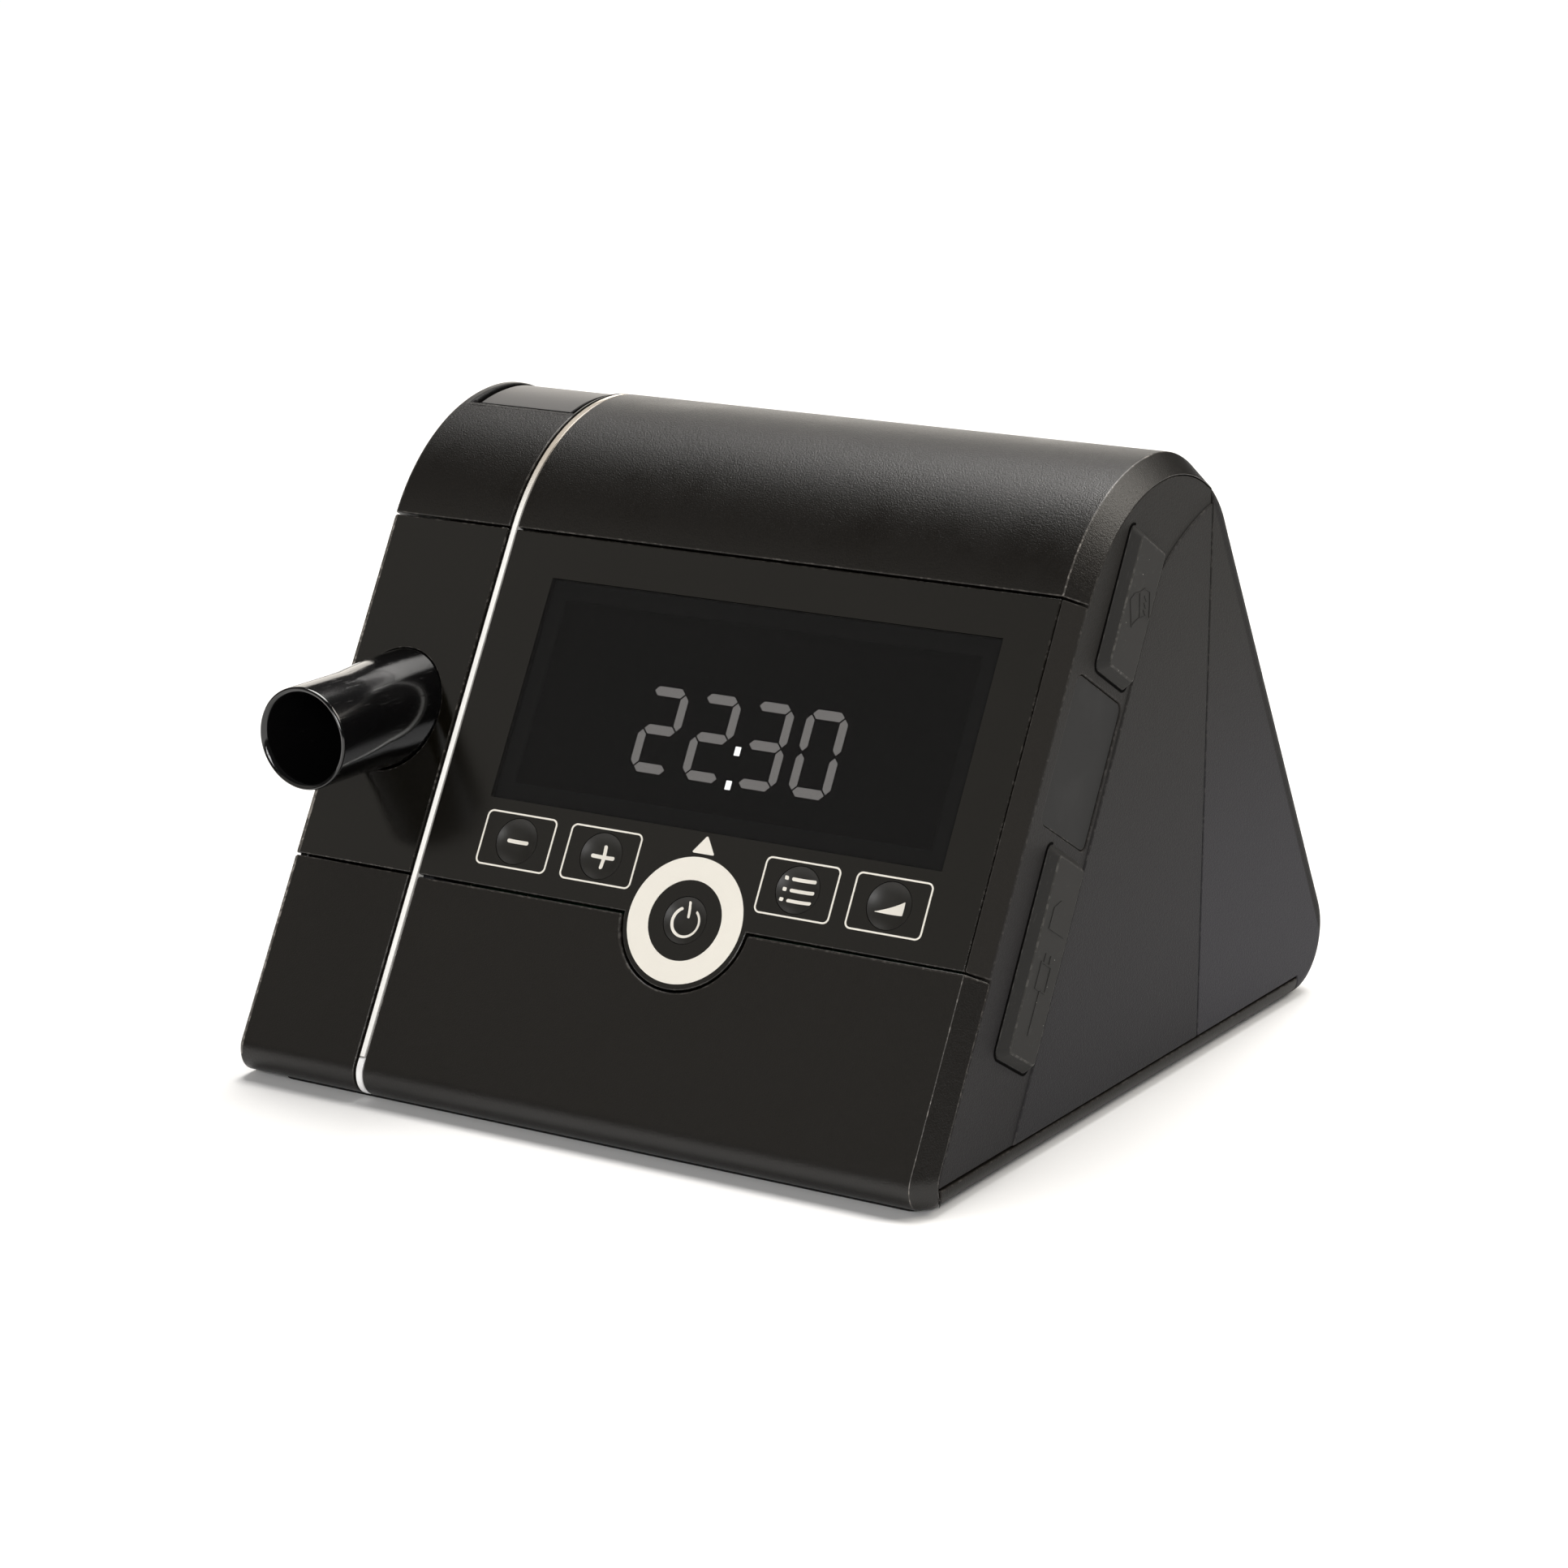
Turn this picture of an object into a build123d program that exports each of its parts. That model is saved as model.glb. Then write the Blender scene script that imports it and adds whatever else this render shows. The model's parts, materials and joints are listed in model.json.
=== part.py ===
from build123d import *
from math import cos, radians, sin, sqrt, tan
import os

# A bench-top CPAP machine: a wedge-shaped case whose display front and rear both slope,
# with a connection module that slides off its left end. Millimetres, +Z up, -Y is the
# display side. The origin is on the table under the middle of the base.

# ---------------------------------------------------------------- driving sizes: case
FRONT_SLOPE = 60.7      # display front, degrees from the table
REAR_SLOPE = 60.2       # rear, degrees from the table
FRONT_FOOT = -96.5      # Y where the front plane meets the table
REAR_FOOT = 101.8       # Y where the rear plane meets the table
APEX_Y = 6.0            # highest line of the case
APEX_Z = 135.3
RIGHT_X = 84.0          # flat right side
STRIP_LEFT = -52.9      # light strip, left face
STRIP_W = 1.6
MODULE_LEFT = -84.0     # left end of the connection module
MODULE_GAP = 0.6        # between the module and the strip
STRIP_FOOT = 9.55       # Z of the joint between the strip and its end piece
STRIP_JOINT = 0.1
STRIP_TAIL = -88.8      # Y where the end piece stops under the nose
WALL = 2.4
SEAM = 0.5              # visible gap between two covers
GROOVE_W = 0.4          # line round the flat right side, cut into its outer face
GROOVE_D = 1.0
SLIDE_GAP = 0.1         # between the module and what it slides on
PAD_T = 0.7             # base pad
OVERCUT = 5.0           # how far cutting profiles run past the case
CAP_DEEP = 20.0         # depth at which the top covers end inside the case
LIP_DEEP = 12.0         # depth at which the lower front cover's top edge ends
NOSE_R = 5.2            # rounding under the front
HEEL_R = 13.5           # rounding under the rear
CHAMFER_W = 4.1         # right-hand chamfer, measured along X
CHAMFER_D = 4.65        # right-hand chamfer, measured into the profile
RIM_H = 4.4             # rounded right edge of the tray

# seams, measured up the front slope from the table
SEAM_LOW = 51.1
SEAM_TOP = 128.8
SEAM_REAR = 25.8        # Y of the seam in front of the rear cover
LIP_Y = -80.0           # where the front covers end under the case
HEEL_Y = 77.0           # where the tray ends at the rear

# ---------------------------------------------------------------- driving sizes: front
PANEL_MID = 15.2        # X of the display and key layout
DISPLAY_W = 108.0
DISPLAY_H = 48.4
DISPLAY_S = 94.6        # centre of the display up the slope
DISPLAY_LEDGE = 2.5     # panel ledge behind the window
WINDOW_T = 1.4
WINDOW_GAP = 0.12
KEY_S = 61.7            # key row
KEY_PITCH = 21.1        # between the two keys of each side
FRAME_INSET = 0.55      # outer key frames, in from the edges of the display
POWER_S = 51.6          # power key
KEY_R = 4.95
KEY_GAP = 0.12
KEY_FLANGE = 1.1
KEY_FLANGE_T = 0.8
KEY_SEAT = 0.05         # play between a key's flange and the panel
KEY_TRAVEL = 0.6
DIMPLE_R = 10.5         # sphere that hollows each key
DIMPLE_D = 1.2
FRAME_W = 17.5
FRAME_H = 11.9
FRAME_LINE = 0.35
FRAME_R = 1.4
PRINT_T = 0.12
RING_R = 13.35
RING_BORE = 8.5
LOBE_R = 14.55
LOBE_GAP = 0.45
POINTER_W = 5.4
POINTER_H = 3.9
POINTER_GAP = 0.75

# digits of the clock on the display
DIGIT_W = 9.6
DIGIT_H = 17.0
DIGIT_PITCH = 12.45
DIGIT_LEFT = 22.5       # left edge of the first digit, from the middle
DIGIT_DROP = 13.2       # foot of the digits, below the middle of the display
SEG_W = 1.9
SEG_GAP = 0.25
COLON_RIGHT = 1.5       # dots, right of the middle
COLON_W = 1.3
COLON_H = 1.9
COLON_DROP = 0.8        # lower dot, below the foot of the digits
COLON_RISE = 7.3

# ---------------------------------------------------------------- driving sizes: side
BAND_D = 31.3           # edge of the shallow band that holds the flaps
BAND_STEP = 0.35
FLAP_NEAR = 13.6        # flap edges, measured back from the front plane
FLAP_FAR = 29.2
FLAP_T = 2.0
FLAP_BEVEL = 1.8
FLAP_R = 1.8
CARD_DROP = 5.15        # card flap, down the slope from the height of the crown
CARD_LEN = 31.2
USB_SPACE = 2.3         # USB flap, below the bay cover
USB_LEN = 44.4
FLAP_SEAT = 0.05
CREASE_DROP = 9.15      # where the band edge starts to curl, down from the crown
CREASE_VIA = (5.7, -17.8)       # Y and Z from the highest line of the case
CREASE_END = (20.5, -12.9)
BAY_NEAR = 8.0
BAY_FAR = 30.1
BAY_SPACE = 2.5         # between the card flap and the bay cover
BAY_LEN = 31.6
BAY_R = 2.0
BAY_T = 1.2
BAY_SINK = 0.3
FIT_GAP = 0.15
WINDOW_LEN = 27.0       # port windows behind the flaps
WINDOW_WID = 9.0

# ---------------------------------------------------------------- driving sizes: module
MODULE_WALL = 2.2
STUB_X = -69.7
STUB_Z = 74.6
STUB_MOUTH = -86.2
STUB_R = 11.0           # 22 mm hose taper, straight at the mouth
STUB_BASE_R = 11.9
STUB_STRAIGHT = 16.0
STUB_BORE = 9.5
STUB_LEAD = 0.8         # chamfer at the mouth
STUB_FLARE = -56.0      # Y where the stub reaches its base radius
STUB_BACK = -38.0       # Y where the elbow takes over
ELBOW_R = 13.0
PORT_Y = -20.0          # air port in the bulkhead
SPIGOT_X = -45.0        # end of the elbow's spigot
SPIGOT_R = 11.0
SEAL_END = -44.0
SEAL_T = 2.2
SEAL_GAP = 0.08
KEY_X0 = -79.8          # release key on the cap
KEY_X1 = -55.2
KEY_Y0 = -7.0
KEY_Y1 = 19.0
REL_SINK = 0.5
REL_GAP = 0.45
REL_TRAVEL = 2.5
REL_T = 2.2
STEM_X = -68.0
STEM_W = 10.0
STEM_D = 9.0
STEM_DROP = 17.3        # foot of the key's stem, below the highest line of the case
HOOK_T = 3.0
HOOK_W = 9.0
HOOK_END = -47.5
HOOK_GAP = 0.5
SHELF_DROP = 36.3       # spring shelf, below the highest line of the case
SHELF_T = 2.0
SHELF_X = -60.0
SHELF_D = 20.0
END_CHAMFER = 0.8
SPRING_R = 3.6
SPRING_WIRE = 0.45
SPRING_TURNS = 5
TONGUE_X = -76.0        # left end of the tray and pad under the module
TONGUE_T = 2.0
PAD_FRONT = -87.8
PAD_R = 3.0

# ---------------------------------------------------------------- driving sizes: rear
DOOR_X0 = -38.0
DOOR_X1 = 22.0
DOOR_LOW = 34.0
DOOR_HIGH = 84.0
DOOR_GAP = 0.35
DOOR_PIN_R = 0.8
DOOR_PIN_GAP = 0.08
DOOR_PIN_L = 1.8
SLOT_W = 2.2
SLOT_N = 7
SLOT_L = 44.0
SLOT_PITCH = 4.6
NOTCH_R = 12.0          # finger notch at the top of the door
NOTCH_D = 2.5
FINE_T = 2.5
COARSE_T = 5.0
FILTER_INSET = 4.0
HOUSING_DEPTH = 13.0
HOUSING_WALL = 1.6
INLET_X = 62.0
INLET_S = 34.0
INLET_R = 6.0
INLET_L = 13.0
INLET_BORE = 3.3
INLET_PIN = 0.9
INLET_GAP = 0.1
EDGE_R = 3.8            # rounding of the right edge of the rear cover

# ---------------------------------------------------------------- driving sizes: inside
BLOWER_X = 4.0
VOLUTE_R = 28.0         # air space of the blower at its narrow end
VOLUTE_STEP = 2.0       # growth of the air space in each quarter turn
VOLUTE_Z0 = 62.0
VOLUTE_Z1 = 88.0
VOLUTE_WALL = 2.0
VOLUTE_END = -32.0      # X of the blower outlet
OUTLET_BORE = 9.4
EYE_R = 11.0
NECK_WALL = 2.0
NECK_END = 46.0         # Z of the foot of the intake neck
NECK_GAP = 0.4
IMPELLER_R = 25.0
IMPELLER_T = 1.5
IMPELLER_Z = 77.0
BLADE_N = 9
BLADE_T = 1.2
BLADE_H = 11.0
BLADE_ROOT_R = 11.5
BLADE_L = 12.5
BLADE_SWEEP = -35.0
HUB_R = 6.0
HUB_Z0 = 74.0
HUB_Z1 = 82.0
SHAFT_R = 2.0
SHAFT_GAP = 0.05
BEARING_R = 5.0
BEARING_T = 3.0
SEAT_WALL = 2.5
SEAT_LIP = 1.0
MOTOR_R = 18.0
MOTOR_TOP = 106.0
MOTOR_WALL = 1.8
STATOR_R = 10.8
STATOR_H = 8.0
STATOR_RISE = 2.0
STATOR_SLOTS = 9
STATOR_SLOT_R = 0.9
ROTOR_GAP = 0.6
ROTOR_WALL = 1.6
MOUNT_R = 4.0
MOUNT_RING_R = 22.0
TUBE_R = 11.4
BOX_X0 = -34.0
BOX_X1 = 44.0
BOX_Y0 = -38.0
BOX_Y1 = 48.0
BOX_Z1 = 50.0
BOX_WALL = 2.0
BOX_R = 5.0
BOX_NECK_X = -8.0
BOX_NECK_Z = 28.0
BOX_NECK_R = 7.0
BOX_BORE = 5.4
FOAM_TOP = 21.0
FOAM_GAP = 0.3
CHASSIS_T = 2.0
CHASSIS_X0 = -48.2
CHASSIS_X1 = 78.0
CHASSIS_Y0 = -76.0
CHASSIS_Y1 = 72.0
CHASSIS_BOSS = 4.0
CHASSIS_BOSS_H = 5.0
POST_W = 3.6
POST_L = 14.0
POST_Y = (-30.0, 40.0)
BOARD_T = 1.6
BOARD_X = 70.0
BOARD_INSET = 14.0
BOARD_R = 3.0
CHIP_H = 1.6
CHIPS = [               # Y, Z, length and height of each chip
    (-12.0, 58.0, 16.0, 16.0),
    (16.0, 44.0, 10.0, 10.0),
    (34.0, 62.0, 12.0, 8.0),
    (-34.0, 34.0, 14.0, 9.0),
    (44.0, 30.0, 9.0, 12.0),
    (4.0, 76.0, 8.0, 5.0),
]
LCD_IN = 2.0            # LCD inside the window edges
DIGIT_T = 0.05
LCD_GAP = 0.4
SWITCH = 6.0
SWITCH_H = 3.4
PLUNGER_R = 1.5
PLUNGER_GAP = 0.05
RIBBON_S = 76.0
RIBBON_X = 58.0
RIBBON_BACK = 8.0
RIBBON_W = 14.0
RIBBON_T = 0.6
RIBBON_R = 3.0
SOCKET_H = 7.0
CARD_SOCKET = (26.0, 14.0)
CARD_SLOT = (24.5, 2.6)
USB_SOCKET = (15.0, 8.0)
USB_SLOT = (12.0, 4.5)
SLOT_DEEP = 6.0
CELL_R = 10.0
CELL_T = 3.2
CELL_AT = (4.0, -35.3)   # Y and Z from the highest line of the case
SENSOR = (8.0, 10.0)
SENSOR_RISE = 4.0
BOSS_R = 2.3
BOSS_GAP = 0.9          # between a boss and the display
SCREW_R = 1.5
SCREW_HEAD = 2.8
SCREW_HOLE = 0.05
SCREW_SINK = 1.2
SCREW_HEX = 1.3
SCREW_IN = 14.0         # screws, in from the edges of the tray
BOARD_DEPTH = 9.0       # display board behind the front plane
DISPLAY_BOARD_SIDE = 5.9        # past the sides of the display
DISPLAY_BOARD_OVER = 2.2        # past its top
DISPLAY_BOARD_UNDER = 4.6       # past the middle of the power key
BOSS_RISE = 20.0        # bosses, above and below the middle of the display

# ---------------------------------------------------------------- derived places
TH = radians(FRONT_SLOPE)
PH = radians(REAR_SLOPE)
BODY_LEFT = STRIP_LEFT + STRIP_W
MODULE_RIGHT = STRIP_LEFT - MODULE_GAP
RIM_TOP = PAD_T + RIM_H
INNER_X = RIGHT_X - WALL
CHAMFER_X = RIGHT_X - CHAMFER_W
PANEL_RIGHT = CHAMFER_X - FIT_GAP
SCREW_SPOTS = [
    (x, y)
    for x in (BODY_LEFT + SCREW_IN, RIGHT_X - SCREW_IN)
    for y in (LIP_Y + SCREW_IN, HEEL_Y - SCREW_IN)
]
BOARD_SPOTS = [
    (PANEL_MID + side * (DISPLAY_W / 2 + BOSS_R + BOSS_GAP), DISPLAY_S + up)
    for side in (-1, 1)
    for up in (-BOSS_RISE, BOSS_RISE)
]
CHASSIS_Z = PAD_T + WALL
BOX_Z0 = CHASSIS_Z + CHASSIS_T
PLUNGER_END = BOARD_DEPTH - SWITCH_H - KEY_TRAVEL - PLUNGER_GAP
BLOWER_Y = PORT_Y - OUTLET_BORE + 3 * VOLUTE_STEP + VOLUTE_R
KEY_OUTER = (DISPLAY_W - FRAME_W) / 2 - FRAME_INSET
KEY_INNER = KEY_OUTER - KEY_PITCH
CROWN_S = APEX_Z / sin(TH)
STEM_END = APEX_Z - STEM_DROP
SHELF_Z = APEX_Z - SHELF_DROP
CARD_HIGH = CROWN_S - CARD_DROP
CARD_LOW = CARD_HIGH - CARD_LEN
BAY_HIGH = CARD_LOW - BAY_SPACE
BAY_LOW = BAY_HIGH - BAY_LEN
USB_HIGH = BAY_LOW - USB_SPACE
USB_LOW = USB_HIGH - USB_LEN
DIGIT_X = PANEL_MID - DIGIT_LEFT
DIGIT_S = DISPLAY_S - DIGIT_DROP
COLON_X = PANEL_MID + COLON_RIGHT
COLON_S = DIGIT_S - COLON_DROP
DISPLAY_BOARD_S = (
    DISPLAY_S + DISPLAY_H / 2 + DISPLAY_BOARD_OVER + POWER_S - DISPLAY_BOARD_UNDER) / 2
DISPLAY_BOARD_H = 2 * (DISPLAY_BOARD_S - POWER_S + DISPLAY_BOARD_UNDER)
SEAL_R = SPIGOT_R + SEAL_GAP + SEAL_T
HINGE_S = DOOR_LOW + DOOR_GAP + WALL / 2
DOOR_MID = ((DOOR_X0 + DOOR_X1) / -2, (DOOR_LOW + DOOR_HIGH) / 2)
HOUSING_BACK = WALL + HOUSING_DEPTH
FLAP_MID = (FLAP_NEAR + FLAP_FAR) / 2
PORTS = {"card": (CARD_LOW, CARD_HIGH), "usb": (USB_LOW, USB_HIGH)}
KEY_MID_Y = (KEY_Y0 + KEY_Y1) / 2
BASE = (Align.CENTER, Align.CENTER, Align.MIN)
KEY_SPOTS = {
    "minus": (PANEL_MID - KEY_OUTER, KEY_S),
    "plus": (PANEL_MID - KEY_INNER, KEY_S),
    "power": (PANEL_MID, POWER_S),
    "menu": (PANEL_MID + KEY_INNER, KEY_S),
    "ramp": (PANEL_MID + KEY_OUTER, KEY_S),
}

FRONT = Plane(origin=(0, FRONT_FOOT, 0), x_dir=(1, 0, 0), z_dir=(0, -sin(TH), cos(TH)))
REAR = Plane(origin=(0, REAR_FOOT, 0), x_dir=(-1, 0, 0), z_dir=(0, sin(PH), cos(PH)))
# the flat right side, with x up the front slope and y out of the front
SIDE = Plane(origin=(RIGHT_X, FRONT_FOOT, 0), x_dir=(0, cos(TH), sin(TH)), z_dir=(1, 0, 0))


def on_front(up, depth):
    """Y and Z of a point up the front slope and behind the front plane."""
    return (FRONT_FOOT + up * cos(TH) + depth * sin(TH), up * sin(TH) - depth * cos(TH))


def on_rear(up, depth):
    """Y and Z of a point up the rear slope and behind the rear plane."""
    return (REAR_FOOT - up * cos(PH) - depth * sin(PH), up * sin(PH) - depth * cos(PH))


def outline(front=0.0, top=0.0, rear=0.0, floor=0.0, nose=NOSE_R, heel=HEEL_R):
    """Side profile of the case, each side moved in by its own inset."""
    z_low = PAD_T + floor
    z_top = APEX_Z - top
    r_front = ((APEX_Y - FRONT_FOOT) * sin(TH) - z_top * cos(TH) - front) / (1 - cos(TH))
    r_rear = ((REAR_FOOT - APEX_Y) * sin(PH) - z_top * cos(PH) - rear) / (1 - cos(PH))
    z_nose = z_low + nose
    y_nose = FRONT_FOOT + (front + nose + z_nose * cos(TH)) / sin(TH)
    z_heel = z_low + heel
    y_heel = REAR_FOOT - (rear + heel + z_heel * cos(PH)) / sin(PH)
    with BuildSketch() as face:
        with BuildLine():
            under = CenterArc((y_nose, z_nose), nose, 270, FRONT_SLOPE - 180)
            brow = CenterArc((APEX_Y, z_top - r_front), r_front, 90 + FRONT_SLOPE, -FRONT_SLOPE)
            crown = CenterArc((APEX_Y, z_top - r_rear), r_rear, 90, -REAR_SLOPE)
            back = CenterArc((y_heel, z_heel), heel, 90 - REAR_SLOPE, REAR_SLOPE - 180)
            Line(under @ 1, brow @ 0)
            Line(crown @ 1, back @ 0)
            Line(back @ 1, under @ 0)
        make_face()
    return face.sketch


def inset(amount):
    """The profile moved in evenly, as the inside of a wall."""
    return outline(amount, amount, amount, amount, max(NOSE_R - amount, 0.5), HEEL_R - amount)


def cap_zone(gap):
    """Profile region of the top covers, gap short of their seams."""
    up = SEAM_TOP + gap
    back = SEAM_REAR - gap
    low = on_front(up, CAP_DEEP)[1]
    with BuildSketch() as face:
        with BuildLine():
            Polyline(
                on_front(up, -OVERCUT), on_front(up, CAP_DEEP), (back, low), (back, APEX_Z + OVERCUT),
                (on_front(up, -OVERCUT)[0], APEX_Z + OVERCUT), close=True)
        make_face()
    return face.sketch


def panel_zone(gap, depth):
    """Profile region between the two front seams, gap short of them."""
    low = SEAM_LOW + gap
    high = SEAM_TOP - gap
    with BuildSketch() as face:
        with BuildLine():
            Polyline(
                on_front(low, -1), on_front(low, depth), on_front(high, depth), on_front(high, -1),
                close=True)
        make_face()
    return face.sketch


def volute_plan(wall):
    """Plan of the blower's spiral, wall outside its air space."""
    first = VOLUTE_R + wall
    second = first + VOLUTE_STEP
    third = second + VOLUTE_STEP
    near = BLOWER_Y - VOLUTE_STEP - third
    far = near + 2 * (OUTLET_BORE + wall)
    end = VOLUTE_END + VOLUTE_WALL - wall
    with BuildSketch() as face:
        with BuildLine():
            CenterArc((BLOWER_X, BLOWER_Y), first, 180, -90)
            CenterArc((BLOWER_X, BLOWER_Y - VOLUTE_STEP), second, 90, -90)
            CenterArc((BLOWER_X - VOLUTE_STEP, BLOWER_Y - VOLUTE_STEP), third, 0, -90)
            Polyline(
                (BLOWER_X - VOLUTE_STEP, near), (end, near), (end, far),
                (BLOWER_X - first, far), (BLOWER_X - first, BLOWER_Y))
        make_face()
    return face.sketch


def segment(across, up, turn):
    """One pointed bar of a digit, centred at (across, up), for use inside a sketch."""
    span = (DIGIT_W if turn == 0 else (DIGIT_H + SEG_W) / 2) - SEG_W - SEG_GAP
    half = SEG_W / 2
    with Locations(Location((across, up, 0), turn)):
        Polygon(
            (-span / 2, 0), (half - span / 2, half), (span / 2 - half, half), (span / 2, 0),
            (span / 2 - half, -half), (half - span / 2, -half))


def side_plane(x):
    return Plane.YZ.offset(x)


def rim(gap=0.0):
    """Profile of the flat right side inside the chamfer."""
    reach = CHAMFER_D + gap
    return outline(reach, reach, 0, 0)


# ================================================================ master volumes
with BuildPart() as hull:
    with BuildSketch(side_plane(BODY_LEFT)):
        add(outline())
    extrude(amount=CHAMFER_X - BODY_LEFT)
    with BuildSketch(side_plane(CHAMFER_X)):
        add(outline())
    with BuildSketch(side_plane(RIGHT_X)):
        add(rim())
    loft(ruled=True)

# the chamfer's wall is as thick as the others, so its inside starts a little sooner
SLANT = sqrt(CHAMFER_W**2 + CHAMFER_D**2)
SHIFT_X = WALL * CHAMFER_D / SLANT
SHIFT_D = WALL * CHAMFER_W / SLANT
CAVITY_X = CHAMFER_X - SHIFT_X + (WALL - SHIFT_D) * CHAMFER_W / CHAMFER_D
CAVITY_D = SHIFT_D + (INNER_X - CHAMFER_X + SHIFT_X) * CHAMFER_D / CHAMFER_W

with BuildPart() as cavity:
    with BuildSketch(side_plane(BODY_LEFT - 1)):
        add(inset(WALL))
    extrude(amount=CAVITY_X - BODY_LEFT + 1)
    with BuildSketch(side_plane(CAVITY_X)):
        add(inset(WALL))
    with BuildSketch(side_plane(INNER_X)):
        add(outline(CAVITY_D, CAVITY_D, WALL, WALL, NOSE_R - WALL, HEEL_R - WALL))
    loft(ruled=True)

with BuildPart() as skin:
    add(hull.part)
    add(cavity.part, mode=Mode.SUBTRACT)

# all above the pad, with the lower right edge rounded
with BuildPart() as rounded_case:
    with BuildSketch(Plane.XZ.offset(-REAR_FOOT)):
        with Locations(((BODY_LEFT + RIGHT_X) / 2, PAD_T + APEX_Z / 2)):
            Rectangle(RIGHT_X - BODY_LEFT, APEX_Z)
        fillet(vertices().group_by(Axis.Y)[0].sort_by(Axis.X)[-1], RIM_H - WALL / 4)
    extrude(amount=REAR_FOOT - FRONT_FOOT)

with BuildPart() as side_grooves:
    with BuildSketch(side_plane(RIGHT_X - GROOVE_D)):
        with Locations((SEAM_REAR - GROOVE_W / 2, (RIM_TOP + APEX_Z) / 2)):
            Rectangle(GROOVE_W, APEX_Z - RIM_TOP)
        with Locations(((FRONT_FOOT + HEEL_Y) / 2, RIM_TOP + GROOVE_W / 2)):
            Rectangle(HEEL_Y - FRONT_FOOT, GROOVE_W)
    extrude(amount=GROOVE_D + 1)

os.makedirs("parts", exist_ok=True)

# ================================================================ base
with BuildPart() as base_pad:
    with BuildSketch(Plane.XY):
        with Locations(((TONGUE_X + RIGHT_X - RIM_H) / 2, (PAD_FRONT + HEEL_Y) / 2)):
            RectangleRounded(RIGHT_X - RIM_H - TONGUE_X, HEEL_Y - PAD_FRONT, PAD_R)
        with Locations(*SCREW_SPOTS):
            Circle(SCREW_HEAD + SLIDE_GAP, mode=Mode.SUBTRACT)
    extrude(amount=PAD_T)
base_pad.part.label = "base_pad"
export_step(base_pad.part, "parts/base_pad.step")

with BuildPart() as base_tray:
    with BuildSketch(Plane.XY.offset(PAD_T)):
        with Locations(((BODY_LEFT + RIGHT_X) / 2, (LIP_Y + FIT_GAP + HEEL_Y) / 2)):
            Rectangle(RIGHT_X - BODY_LEFT, HEEL_Y - LIP_Y - FIT_GAP)
        with Locations(((CHAMFER_X - WALL + FIT_GAP + RIGHT_X) / 2, (FRONT_FOOT + LIP_Y + WALL) / 2)):
            Rectangle(RIGHT_X - CHAMFER_X + WALL - FIT_GAP, LIP_Y + WALL - FRONT_FOOT)
    extrude(amount=RIM_H)
    add(skin.part, mode=Mode.INTERSECT)
    with BuildSketch(side_plane(BODY_LEFT)):
        add(rim())
        with Locations(((LIP_Y + FIT_GAP + HEEL_Y) / 2, 0)):
            Rectangle(HEEL_Y - LIP_Y - FIT_GAP, RIM_TOP + 1)
    extrude(amount=RIGHT_X - BODY_LEFT, mode=Mode.INTERSECT)
    add(rounded_case.part, mode=Mode.INTERSECT)
    with BuildSketch(Plane.XY.offset(PAD_T)):
        with Locations(((TONGUE_X + BODY_LEFT) / 2, (LIP_Y + FIT_GAP + HEEL_Y) / 2)):
            Rectangle(BODY_LEFT - TONGUE_X, HEEL_Y - LIP_Y - FIT_GAP)
    extrude(amount=TONGUE_T)
    with Locations(*[(x, y, PAD_T) for x, y in SCREW_SPOTS]):
        Cylinder(SCREW_HEAD + SLIDE_GAP, SCREW_SINK, align=BASE, mode=Mode.SUBTRACT)
        Cylinder(SCREW_R + SCREW_HOLE, WALL, align=BASE, mode=Mode.SUBTRACT)
base_tray.part.label = "base_tray"
export_step(base_tray.part, "parts/base_tray.step")

# ================================================================ front covers
# all that the flat right side takes up, which the other covers keep clear of
with BuildPart() as side_zone:
    with BuildSketch(side_plane(CHAMFER_X - WALL)):
        add(rim(-FIT_GAP))
    extrude(amount=CHAMFER_W + WALL + 1)

with BuildPart() as lower_front_cover:
    add(skin.part)
    with BuildSketch(side_plane(BODY_LEFT)):
        with BuildLine():
            Polyline(
                on_front(SEAM_LOW - SEAM / 2, -OVERCUT), on_front(SEAM_LOW - SEAM / 2, LIP_DEEP),
                (LIP_Y, RIM_TOP + WALL), (LIP_Y, 0), (FRONT_FOOT - OVERCUT, 0), close=True)
        make_face()
    extrude(amount=RIGHT_X - BODY_LEFT, mode=Mode.INTERSECT)
    add(side_zone.part, mode=Mode.SUBTRACT)
    add(rounded_case.part, mode=Mode.INTERSECT)
    with BuildSketch(FRONT.offset(1)):
        with Locations((PANEL_MID, POWER_S)):
            Circle(LOBE_R + LOBE_GAP)
    extrude(amount=-WALL - 4, mode=Mode.SUBTRACT)
lower_front_cover.part.label = "lower_front_cover"
export_step(lower_front_cover.part, "parts/lower_front_cover.step")

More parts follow.
